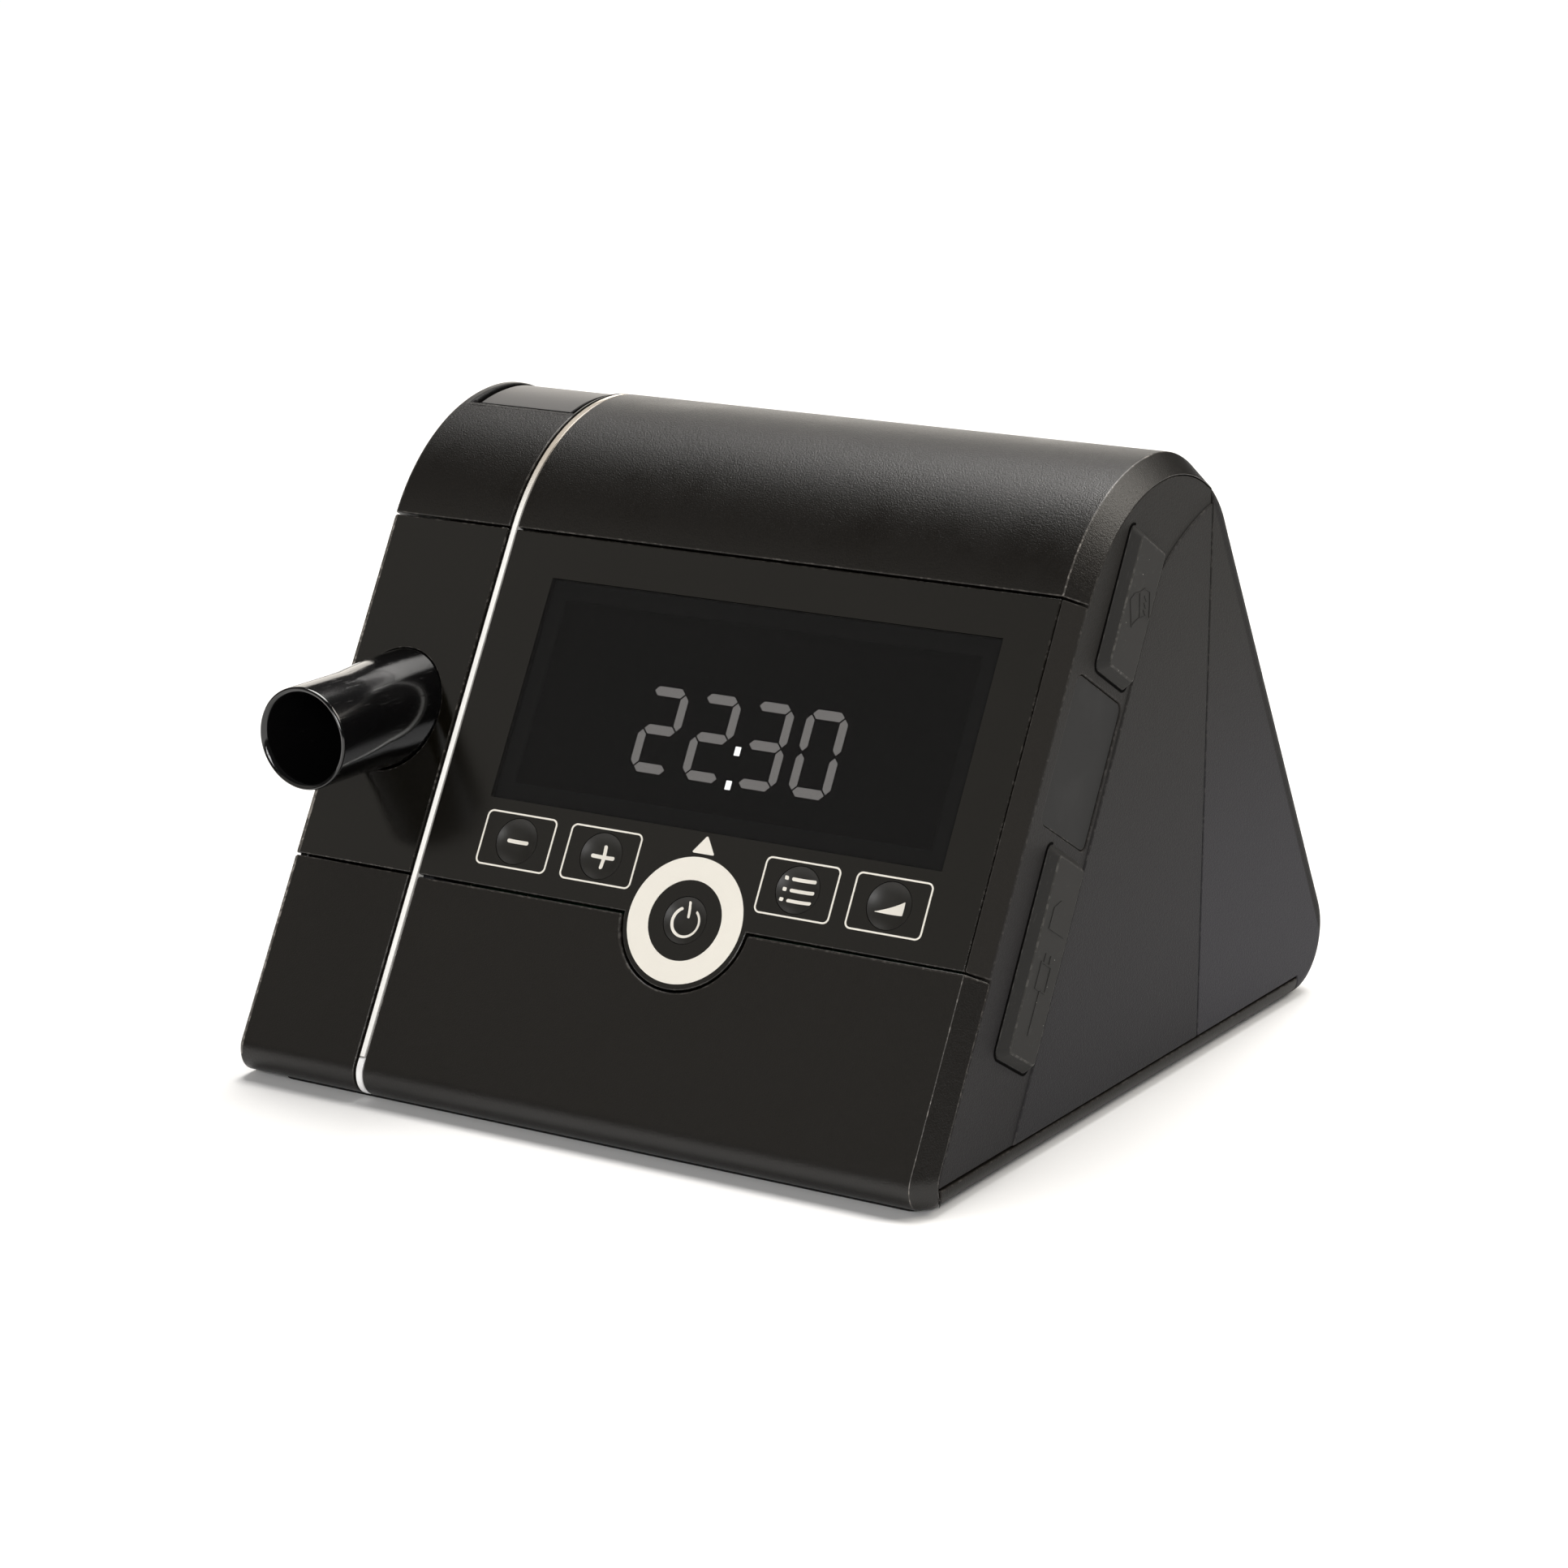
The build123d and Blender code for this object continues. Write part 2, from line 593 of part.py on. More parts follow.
with BuildPart() as front_panel:
    with BuildSketch(FRONT):
        with Locations(((BODY_LEFT + PANEL_RIGHT) / 2, (SEAM_LOW + SEAM_TOP) / 2)):
            Rectangle(PANEL_RIGHT - BODY_LEFT, SEAM_TOP - SEAM_LOW - SEAM)
        with Locations((PANEL_MID, POWER_S)):
            Circle(LOBE_R)
    extrude(amount=-WALL)
    with BuildSketch(FRONT):
        with Locations((PANEL_MID, DISPLAY_S)):
            Rectangle(DISPLAY_W + 2 * WINDOW_GAP, DISPLAY_H + 2 * WINDOW_GAP)
    extrude(amount=-WINDOW_T, mode=Mode.SUBTRACT)
    with BuildSketch(FRONT):
        with Locations((PANEL_MID, DISPLAY_S)):
            Rectangle(DISPLAY_W - 2 * DISPLAY_LEDGE, DISPLAY_H - 2 * DISPLAY_LEDGE)
    extrude(amount=-WALL, mode=Mode.SUBTRACT)
    with BuildSketch(FRONT):
        with Locations(*KEY_SPOTS.values()):
            Circle(KEY_R + KEY_GAP)
    extrude(amount=-WALL, mode=Mode.SUBTRACT)
    with BuildSketch(FRONT.offset(-WALL)):
        with Locations(*BOARD_SPOTS):
            Circle(BOSS_R)
    extrude(amount=-(BOARD_DEPTH - WALL))
front_panel.part.label = "front_panel"
export_step(front_panel.part, "parts/front_panel.step")

with BuildPart() as panel_print:
    with BuildSketch(FRONT):
        with Locations(*[spot for name, spot in KEY_SPOTS.items() if name != "power"]):
            RectangleRounded(FRAME_W, FRAME_H, FRAME_R)
            RectangleRounded(
                FRAME_W - 2 * FRAME_LINE, FRAME_H - 2 * FRAME_LINE, FRAME_R - FRAME_LINE,
                mode=Mode.SUBTRACT)
        with Locations((PANEL_MID, POWER_S)):
            Circle(RING_R)
            Circle(RING_BORE, mode=Mode.SUBTRACT)
        with Locations((PANEL_MID, POWER_S + RING_R + POINTER_GAP)):
            Polygon((-POINTER_W / 2, 0), (POINTER_W / 2, 0), (0, POINTER_H), align=None)
    extrude(amount=PRINT_T)
panel_print.part.label = "panel_print"
export_step(panel_print.part, "parts/panel_print.step")

with BuildPart() as display_window:
    with BuildSketch(FRONT):
        with Locations((PANEL_MID, DISPLAY_S)):
            Rectangle(DISPLAY_W, DISPLAY_H)
    extrude(amount=-WINDOW_T)
display_window.part.label = "display_window"
export_step(display_window.part, "parts/display_window.step")

with BuildPart() as lcd_module:
    with BuildSketch(FRONT.offset(-WALL - LCD_GAP)):
        with Locations((PANEL_MID, DISPLAY_S)):
            Rectangle(DISPLAY_W - 2 * LCD_IN, DISPLAY_H - 2 * LCD_IN)
    extrude(amount=-(BOARD_DEPTH - WALL - LCD_GAP))
lcd_module.part.label = "lcd_module"
export_step(lcd_module.part, "parts/lcd_module.step")

LEFT_BAR = SEG_W / 2
RIGHT_BAR = DIGIT_W - SEG_W / 2
LOW_BAR = SEG_W / 2
HIGH_BAR = DIGIT_H - SEG_W / 2
LOW_SIDE = (LOW_BAR + DIGIT_H / 2) / 2
HIGH_SIDE = (HIGH_BAR + DIGIT_H / 2) / 2
BARS = {
    "a": (DIGIT_W / 2, HIGH_BAR, 0),
    "b": (RIGHT_BAR, HIGH_SIDE, 90),
    "c": (RIGHT_BAR, LOW_SIDE, 90),
    "d": (DIGIT_W / 2, LOW_BAR, 0),
    "e": (LEFT_BAR, LOW_SIDE, 90),
    "f": (LEFT_BAR, HIGH_SIDE, 90),
    "g": (DIGIT_W / 2, DIGIT_H / 2, 0),
}
CLOCK = ["abged", "abged", "abgcd", "abcdef"]

with BuildPart() as lcd_digits:
    with BuildSketch(FRONT.offset(-WALL - LCD_GAP)):
        for place, bars in enumerate(CLOCK):
            for bar in bars:
                across, up, turn = BARS[bar]
                segment(DIGIT_X + place * DIGIT_PITCH + across, DIGIT_S + up, turn)
        with Locations((COLON_X, COLON_S), (COLON_X, COLON_S + COLON_RISE)):
            Rectangle(COLON_W, COLON_H)
    extrude(amount=DIGIT_T)
lcd_digits.part.label = "lcd_digits"
export_step(lcd_digits.part, "parts/lcd_digits.step")

with BuildPart() as display_board:
    with BuildSketch(FRONT.offset(-BOARD_DEPTH)):
        with Locations((PANEL_MID, DISPLAY_BOARD_S)):
            RectangleRounded(DISPLAY_W + 2 * DISPLAY_BOARD_SIDE, DISPLAY_BOARD_H, BOARD_R)
    extrude(amount=-BOARD_T)
display_board.part.label = "display_board"
export_step(display_board.part, "parts/display_board.step")

with BuildPart() as key_switches:
    with BuildSketch(FRONT.offset(-BOARD_DEPTH + SWITCH_H)):
        with Locations(*KEY_SPOTS.values()):
            RectangleRounded(SWITCH, SWITCH, SWITCH / 10)
    extrude(amount=-SWITCH_H)
key_switches.part.label = "key_switches"
export_step(key_switches.part, "parts/key_switches.step")

for name, spot in KEY_SPOTS.items():
    with BuildPart() as key:
        with BuildSketch(FRONT):
            with Locations(spot):
                Circle(KEY_R)
        extrude(amount=-(WALL + KEY_SEAT))
        with BuildSketch(FRONT.offset(-WALL - KEY_SEAT)):
            with Locations(spot):
                Circle(KEY_R + KEY_FLANGE)
        extrude(amount=-KEY_FLANGE_T)
        with BuildSketch(FRONT.offset(-WALL - KEY_SEAT - KEY_FLANGE_T)):
            with Locations(spot):
                Circle(PLUNGER_R)
        extrude(amount=-(PLUNGER_END - WALL - KEY_SEAT - KEY_FLANGE_T))
        with Locations(FRONT.offset(DIMPLE_R - DIMPLE_D)):
            with Locations(spot):
                Sphere(DIMPLE_R, mode=Mode.SUBTRACT)
    key.part.label = name + "_key"
    export_step(key.part, "parts/" + name + "_key.step")

# ================================================================ top and right side
with BuildPart() as top_cover:
    add(skin.part)
    with BuildSketch(side_plane(BODY_LEFT)):
        add(cap_zone(SEAM / 2))
    extrude(amount=RIGHT_X - BODY_LEFT, mode=Mode.INTERSECT)
    add(side_zone.part, mode=Mode.SUBTRACT)
top_cover.part.label = "top_cover"
export_step(top_cover.part, "parts/top_cover.step")

with BuildPart() as side_panel:
    with BuildSketch(side_plane(CHAMFER_X - WALL)):
        add(rim())
    extrude(amount=CHAMFER_W + WALL)
    with BuildSketch(side_plane(CHAMFER_X)):
        add(panel_zone(SEAM / 2, CHAMFER_D + 2))
    extrude(amount=CHAMFER_W)
    add(skin.part, mode=Mode.INTERSECT)
    with BuildSketch(side_plane(CHAMFER_X - WALL)):
        with Locations(((FRONT_FOOT + SEAM_REAR) / 2, (RIM_TOP + APEX_Z) / 2)):
            Rectangle(SEAM_REAR - FRONT_FOOT, APEX_Z - RIM_TOP)
    extrude(amount=CHAMFER_W + WALL, mode=Mode.INTERSECT)
    with BuildSketch(side_plane(RIGHT_X - BAND_STEP)):
        with BuildLine():
            straight = Line(on_front(-OVERCUT, BAND_D), on_front(CROWN_S - CREASE_DROP, BAND_D))
            curl = ThreePointArc(
                straight @ 1, (APEX_Y + CREASE_VIA[0], APEX_Z + CREASE_VIA[1]),
                (APEX_Y + CREASE_END[0], APEX_Z + CREASE_END[1]))
            Polyline(
                curl @ 1, (APEX_Y + CREASE_END[0], APEX_Z + OVERCUT),
                (FRONT_FOOT - OVERCUT, APEX_Z + OVERCUT), (FRONT_FOOT - OVERCUT, -APEX_Z), straight @ 0)
        make_face()
    extrude(amount=BAND_STEP + 1, mode=Mode.SUBTRACT)
    with BuildSketch(SIDE):
        with Locations(*[((low + high) / 2, -FLAP_MID) for low, high in PORTS.values()]):
            Rectangle(WINDOW_LEN, WINDOW_WID)
    extrude(amount=-WALL - 1, mode=Mode.SUBTRACT)
    with BuildSketch(SIDE.offset(-BAND_STEP)):
        with Locations(((BAY_LOW + BAY_HIGH) / 2, -(BAY_NEAR + BAY_FAR) / 2)):
            RectangleRounded(BAY_HIGH - BAY_LOW, BAY_FAR - BAY_NEAR, BAY_R)
    extrude(amount=-(BAY_SINK + BAY_T), mode=Mode.SUBTRACT)
    add(side_grooves.part, mode=Mode.SUBTRACT)
side_panel.part.label = "side_panel"
export_step(side_panel.part, "parts/side_panel.step")

with BuildPart() as bay_cover:
    with BuildSketch(SIDE.offset(-BAND_STEP - BAY_SINK)):
        with Locations(((BAY_LOW + BAY_HIGH) / 2, -(BAY_NEAR + BAY_FAR) / 2)):
            RectangleRounded(
                BAY_HIGH - BAY_LOW - 2 * FIT_GAP, BAY_FAR - BAY_NEAR - 2 * FIT_GAP, BAY_R - FIT_GAP)
    extrude(amount=-BAY_T)
bay_cover.part.label = "bay_cover"
export_step(bay_cover.part, "parts/bay_cover.step")

for name, (low, high) in PORTS.items():
    with BuildPart() as flap:
        with BuildSketch(SIDE.offset(-BAND_STEP + FLAP_SEAT)):
            with Locations(((low + high) / 2, -FLAP_MID)):
                RectangleRounded(high - low, FLAP_FAR - FLAP_NEAR, FLAP_R)
        with BuildSketch(SIDE.offset(FLAP_T)):
            with Locations(((low + high) / 2, -FLAP_MID)):
                RectangleRounded(
                    high - low - 2 * FLAP_BEVEL, FLAP_FAR - FLAP_NEAR - 2 * FLAP_BEVEL, FLAP_R / 2)
        loft(ruled=True)
    flap.part.label = name + "_flap"
    export_step(flap.part, "parts/" + name + "_flap.step")

# ================================================================ rear
HINGE = Plane(
    origin=(DOOR_X0 + DOOR_GAP, *on_rear(HINGE_S, WALL / 2)), x_dir=(0, -cos(PH), sin(PH)),
    z_dir=(1, 0, 0))
DOOR_W = DOOR_X1 - DOOR_X0

with BuildPart() as rear_cover:
    with BuildSketch(side_plane(BODY_LEFT)):
        with Locations(((SEAM_REAR + REAR_FOOT) / 2, (RIM_TOP + APEX_Z) / 2)):
            Rectangle(REAR_FOOT - SEAM_REAR, APEX_Z - RIM_TOP)
        with Locations(((HEEL_Y + FIT_GAP + REAR_FOOT) / 2, RIM_TOP / 2 + 1)):
            Rectangle(REAR_FOOT - HEEL_Y - FIT_GAP, RIM_TOP + 2)
    extrude(amount=RIGHT_X - BODY_LEFT)
    add(skin.part, mode=Mode.INTERSECT)
    fillet(
        rear_cover.edges().group_by(Axis.X)[-1].filter_by(
            lambda edge: edge.center().Y > SEAM_REAR + HEEL_R and edge.center().Z > RIM_TOP + 1),
        EDGE_R)
    add(rounded_case.part, mode=Mode.INTERSECT)
    add(side_grooves.part, mode=Mode.SUBTRACT)
    with BuildSketch(REAR.offset(1)):
        with Locations(DOOR_MID):
            Rectangle(DOOR_W, DOOR_HIGH - DOOR_LOW)
        with Locations((-INLET_X, INLET_S)):
            Circle(INLET_R + INLET_GAP)
    extrude(amount=-WALL - 2, mode=Mode.SUBTRACT)
    with BuildSketch(HINGE.offset(-DOOR_GAP - DOOR_PIN_L - DOOR_PIN_GAP)):
        Circle(DOOR_PIN_R + DOOR_PIN_GAP)
    extrude(amount=DOOR_W + 2 * DOOR_PIN_L + 2 * DOOR_PIN_GAP, mode=Mode.SUBTRACT)
rear_cover.part.label = "rear_cover"
export_step(rear_cover.part, "parts/rear_cover.step")

with BuildPart() as filter_door:
    with BuildSketch(HINGE):
        Circle(WALL / 2)
        with Locations(((DOOR_HIGH - DOOR_GAP - HINGE_S) / 2, 0)):
            Rectangle(DOOR_HIGH - DOOR_GAP - HINGE_S, WALL)
    extrude(amount=DOOR_W - 2 * DOOR_GAP)
    with BuildSketch(REAR.offset(1)):
        with Locations(DOOR_MID):
            with GridLocations(0, SLOT_PITCH, 1, SLOT_N):
                SlotOverall(SLOT_L, SLOT_W)
        with Locations((DOOR_MID[0], DOOR_HIGH + NOTCH_R - NOTCH_D)):
            Circle(NOTCH_R)
    extrude(amount=-WALL - 2, mode=Mode.SUBTRACT)
    with BuildSketch(HINGE.offset(-DOOR_GAP - DOOR_PIN_L)):
        Circle(DOOR_PIN_R)
    extrude(amount=DOOR_W + 2 * DOOR_PIN_L)
filter_door.part.label = "filter_door"
export_step(filter_door.part, "parts/filter_door.step")

with BuildPart() as coarse_filter:
    with BuildSketch(REAR.offset(-WALL)):
        with Locations(DOOR_MID):
            Rectangle(DOOR_W - 2 * FILTER_INSET, DOOR_HIGH - DOOR_LOW - 2 * FILTER_INSET)
    extrude(amount=-COARSE_T)
coarse_filter.part.label = "coarse_filter"
export_step(coarse_filter.part, "parts/coarse_filter.step")

with BuildPart() as fine_filter:
    with BuildSketch(REAR.offset(-WALL - COARSE_T)):
        with Locations(DOOR_MID):
            Rectangle(DOOR_W - 2 * FILTER_INSET, DOOR_HIGH - DOOR_LOW - 2 * FILTER_INSET)
    extrude(amount=-FINE_T)
fine_filter.part.label = "fine_filter"
export_step(fine_filter.part, "parts/fine_filter.step")

with BuildPart() as filter_housing:
    with BuildSketch(REAR.offset(-WALL)):
        with Locations(DOOR_MID):
            Rectangle(DOOR_W + 2 * HOUSING_WALL, DOOR_HIGH - DOOR_LOW + 2 * HOUSING_WALL)
    extrude(amount=-HOUSING_DEPTH)
    with BuildSketch(REAR.offset(-WALL)):
        with Locations(DOOR_MID):
            Rectangle(DOOR_W, DOOR_HIGH - DOOR_LOW)
    extrude(amount=-(HOUSING_DEPTH - HOUSING_WALL), mode=Mode.SUBTRACT)
    with BuildSketch(Plane.XZ.offset(-BOX_Y1)):
        with Locations((BOX_NECK_X, BOX_NECK_Z)):
            Circle(BOX_BORE)
    extrude(amount=-(HEEL_Y - BOX_Y1), mode=Mode.SUBTRACT)
filter_housing.part.label = "filter_housing"
export_step(filter_housing.part, "parts/filter_housing.step")

with BuildPart() as power_inlet:
    with BuildSketch(REAR):
        with Locations((-INLET_X, INLET_S)):
            Circle(INLET_R)
    extrude(amount=-INLET_L)
    with BuildSketch(REAR):
        with Locations((-INLET_X, INLET_S)):
            Circle(INLET_BORE)
            Circle(INLET_PIN, mode=Mode.SUBTRACT)
    extrude(amount=-(INLET_L - WALL), mode=Mode.SUBTRACT)
power_inlet.part.label = "power_inlet"
export_step(power_inlet.part, "parts/power_inlet.step")

# ================================================================ left end of the case
with BuildPart() as light_strip:
    with BuildSketch(side_plane(STRIP_LEFT)):
        add(outline())
        add(inset(WALL), mode=Mode.SUBTRACT)
        with Locations(((FRONT_FOOT + REAR_FOOT) / 2, 0)):
            Rectangle(REAR_FOOT - FRONT_FOOT, 2 * STRIP_FOOT + STRIP_JOINT, mode=Mode.SUBTRACT)
    extrude(amount=STRIP_W)
light_strip.part.label = "light_strip"
export_step(light_strip.part, "parts/light_strip.step")

with BuildPart() as strip_end:
    with BuildSketch(side_plane(STRIP_LEFT)):
        add(outline())
        add(inset(WALL), mode=Mode.SUBTRACT)
        with Locations(((FRONT_FOOT + STRIP_TAIL) / 2 - NOSE_R, STRIP_FOOT / 2)):
            Rectangle(STRIP_TAIL - FRONT_FOOT + 2 * NOSE_R, STRIP_FOOT - STRIP_JOINT, mode=Mode.INTERSECT)
    extrude(amount=STRIP_W)
strip_end.part.label = "strip_end"
export_step(strip_end.part, "parts/strip_end.step")

with BuildPart() as bulkhead:
    with BuildSketch(side_plane(BODY_LEFT)):
        add(inset(WALL + FIT_GAP))
        with Locations((PORT_Y, STUB_Z)):
            Circle(SEAL_R + SEAL_GAP, mode=Mode.SUBTRACT)
        with Locations((KEY_MID_Y, STEM_END - (HOOK_T + REL_TRAVEL) / 2)):
            Rectangle(HOOK_W + 2 * HOOK_GAP, HOOK_T + REL_TRAVEL + 2 * HOOK_GAP, mode=Mode.SUBTRACT)
    extrude(amount=WALL)
bulkhead.part.label = "bulkhead"
export_step(bulkhead.part, "parts/bulkhead.step")

# ================================================================ connection module
with BuildPart() as module_skin:
    with BuildSketch(side_plane(MODULE_LEFT)):
        add(outline(END_CHAMFER, END_CHAMFER, END_CHAMFER))
    with BuildSketch(side_plane(MODULE_LEFT + END_CHAMFER)):
        add(outline())
    loft(ruled=True)
    with BuildSketch(side_plane(MODULE_LEFT + END_CHAMFER)):
        add(outline())
    extrude(amount=MODULE_RIGHT - MODULE_LEFT - END_CHAMFER)
    with BuildSketch(side_plane(MODULE_LEFT + MODULE_WALL)):
        add(inset(MODULE_WALL))
    extrude(amount=MODULE_RIGHT - MODULE_LEFT, mode=Mode.SUBTRACT)

with BuildPart() as module_shell:
    add(module_skin.part)
    with BuildSketch(side_plane(MODULE_LEFT)):
        add(cap_zone(-SEAM / 2))
        add(panel_zone(-SEAM / 2, MODULE_WALL + SLIDE_GAP))
    extrude(amount=MODULE_RIGHT - MODULE_LEFT, mode=Mode.SUBTRACT)
    with BuildSketch(side_plane(MODULE_LEFT + MODULE_WALL)):
        with Locations(((LIP_Y + HEEL_Y + FIT_GAP) / 2, 0)):
            Rectangle(HEEL_Y + FIT_GAP - LIP_Y, 2 * (PAD_T + MODULE_WALL) + 1)
    extrude(amount=MODULE_RIGHT - MODULE_LEFT, mode=Mode.SUBTRACT)
    with BuildSketch(Plane.XY):
        with Locations(((MODULE_LEFT + MODULE_RIGHT) / 2, (FRONT_FOOT + REAR_FOOT) / 2)):
            Rectangle(MODULE_RIGHT - MODULE_LEFT + 2, REAR_FOOT - FRONT_FOOT)
    extrude(amount=PAD_T + SLIDE_GAP, mode=Mode.SUBTRACT)
    with BuildSketch(Plane.XY.offset(SHELF_Z)):
        with Locations(((MODULE_LEFT + MODULE_WALL / 2 + SHELF_X) / 2, KEY_MID_Y)):
            Rectangle(SHELF_X - MODULE_LEFT - MODULE_WALL / 2, SHELF_D)
    extrude(amount=SHELF_T)
module_shell.part.label = "module_shell"
export_step(module_shell.part, "parts/module_shell.step")

with BuildPart() as module_cap:
    add(module_skin.part)
    with BuildSketch(side_plane(MODULE_LEFT)):
        add(cap_zone(SEAM / 2))
    extrude(amount=MODULE_RIGHT - MODULE_LEFT, mode=Mode.INTERSECT)
    with BuildSketch(Plane.XY.offset(STEM_END)):
        with Locations(((KEY_X0 + KEY_X1) / 2, KEY_MID_Y)):
            Rectangle(KEY_X1 - KEY_X0 + 2 * REL_GAP, KEY_Y1 - KEY_Y0 + 2 * REL_GAP)
    extrude(amount=APEX_Z - STEM_END + 1, mode=Mode.SUBTRACT)
module_cap.part.label = "module_cap"
export_step(module_cap.part, "parts/module_cap.step")

STUB_AXIS = Axis((STUB_X, 0, STUB_Z), (0, 1, 0))

with BuildPart() as module_front:
    add(module_skin.part)
    with BuildSketch(side_plane(MODULE_LEFT)):
        add(panel_zone(SEAM / 2, MODULE_WALL))
    extrude(amount=MODULE_RIGHT - MODULE_LEFT, mode=Mode.INTERSECT)
    with BuildSketch(Plane.XZ.offset(-STUB_BACK)):
        with Locations((STUB_X, STUB_Z)):
            Circle(STUB_BASE_R + SLIDE_GAP)
    extrude(amount=STUB_BACK - STUB_MOUTH, mode=Mode.SUBTRACT)
module_front.part.label = "module_front"
export_step(module_front.part, "parts/module_front.step")

with BuildPart() as hose_stub:
    with BuildSketch(Plane.XY.offset(STUB_Z)):
        with Locations((STUB_X, 0)):
            Polygon(
                (STUB_BORE + STUB_LEAD, STUB_MOUTH), (STUB_R - STUB_LEAD / 2, STUB_MOUTH),
                (STUB_R, STUB_MOUTH + STUB_LEAD / 2), (STUB_R, STUB_MOUTH + STUB_STRAIGHT),
                (STUB_BASE_R, STUB_FLARE), (STUB_BASE_R, STUB_BACK), (STUB_BORE, STUB_BACK),
                (STUB_BORE, STUB_MOUTH + STUB_LEAD), align=None)
    revolve(axis=STUB_AXIS)
hose_stub.part.label = "hose_stub"
export_step(hose_stub.part, "parts/hose_stub.step")

with BuildPart() as duct_elbow:
    with BuildLine(Plane.XY.offset(STUB_Z)):
        Line((STUB_X, STUB_BACK), (STUB_X, PORT_Y - ELBOW_R))
        bend = CenterArc((STUB_X + ELBOW_R, PORT_Y - ELBOW_R), ELBOW_R, 180, -90)
        Line(bend @ 1, (SPIGOT_X, PORT_Y))
    with BuildSketch(Plane.XZ.offset(-STUB_BACK)):
        with Locations((STUB_X, STUB_Z)):
            Circle(SPIGOT_R)
            Circle(STUB_BORE, mode=Mode.SUBTRACT)
    sweep()
duct_elbow.part.label = "duct_elbow"
export_step(duct_elbow.part, "parts/duct_elbow.step")

with BuildPart() as outlet_seal:
    with BuildSketch(side_plane(BODY_LEFT)):
        with Locations((PORT_Y, STUB_Z)):
            Circle(SEAL_R)
            Circle(SPIGOT_R + SEAL_GAP, mode=Mode.SUBTRACT)
    extrude(amount=SEAL_END - BODY_LEFT)
outlet_seal.part.label = "outlet_seal"
export_step(outlet_seal.part, "parts/outlet_seal.step")

with BuildPart() as release_key:
    with BuildSketch(side_plane(KEY_X0)):
        add(inset(REL_SINK))
        add(inset(REL_SINK + REL_T), mode=Mode.SUBTRACT)
        with Locations((KEY_MID_Y, APEX_Z)):
            Rectangle(KEY_Y1 - KEY_Y0, HEEL_R, mode=Mode.INTERSECT)
    extrude(amount=KEY_X1 - KEY_X0)
    with BuildSketch(Plane.XY.offset(STEM_END)):
        with Locations((STEM_X, KEY_MID_Y)):
            Rectangle(STEM_W, STEM_D)
    extrude(amount=APEX_Z - REL_SINK - REL_T / 2 - STEM_END)
release_key.part.label = "release_key"
export_step(release_key.part, "parts/release_key.step")

with BuildPart() as latch_hook:
    with BuildSketch(Plane.XY.offset(STEM_END - HOOK_T)):
        with Locations(((STEM_X - STEM_W / 2 + HOOK_END) / 2, KEY_MID_Y)):
            Rectangle(HOOK_END - STEM_X + STEM_W / 2, HOOK_W)
    extrude(amount=HOOK_T)
    chamfer(latch_hook.edges().filter_by(Axis.Y).group_by(Axis.X)[-1], HOOK_T / 4)
latch_hook.part.label = "latch_hook"
export_step(latch_hook.part, "parts/latch_hook.step")

SPRING_FOOT = SHELF_Z + SHELF_T
SPRING_L = STEM_END - HOOK_T - SPRING_FOOT
with BuildPart() as release_spring:
    with BuildLine(Plane((STEM_X, KEY_MID_Y, SPRING_FOOT + SPRING_WIRE))):
        coil = Helix((SPRING_L - 2 * SPRING_WIRE) / SPRING_TURNS, SPRING_L - 2 * SPRING_WIRE, SPRING_R)
    with BuildSketch(Plane(origin=coil @ 0, z_dir=coil % 0)):
        Circle(SPRING_WIRE)
    sweep()
release_spring.part.label = "release_spring"
export_step(release_spring.part, "parts/release_spring.step")

# ================================================================ blower
BLOWER = (BLOWER_X, BLOWER_Y)
ROTOR_IN = STATOR_R + ROTOR_GAP
ROTOR_OUT = ROTOR_IN + ROTOR_WALL
STATOR_Z = VOLUTE_Z1 + STATOR_RISE
ROTOR_TOP = STATOR_Z + STATOR_H + SEAT_LIP + ROTOR_WALL
LOW_BEARING_Z = VOLUTE_Z1 - BEARING_T
HIGH_BEARING_Z = MOTOR_TOP - MOTOR_WALL - BEARING_T

with BuildPart() as volute_lower:
    with BuildSketch(Plane.XY.offset(VOLUTE_Z0)):
        add(volute_plan(VOLUTE_WALL))
    extrude(amount=STUB_Z - VOLUTE_Z0)
    with BuildSketch(Plane.XY.offset(NECK_END)):
        with Locations(BLOWER):
            Circle(EYE_R + NECK_WALL)
    extrude(amount=VOLUTE_Z0 - NECK_END)
    with BuildSketch(Plane.XY.offset(VOLUTE_Z0 + VOLUTE_WALL)):
        add(volute_plan(0))
    extrude(amount=STUB_Z - VOLUTE_Z0, mode=Mode.SUBTRACT)
    with BuildSketch(Plane.XY.offset(NECK_END)):
        with Locations(BLOWER):
            Circle(EYE_R)
    extrude(amount=STUB_Z - NECK_END, mode=Mode.SUBTRACT)
    with BuildSketch(side_plane(VOLUTE_END)):
        with Locations((PORT_Y, STUB_Z)):
            Circle(OUTLET_BORE)
    extrude(amount=2 * VOLUTE_WALL, mode=Mode.SUBTRACT)
volute_lower.part.label = "volute_lower"
export_step(volute_lower.part, "parts/volute_lower.step")

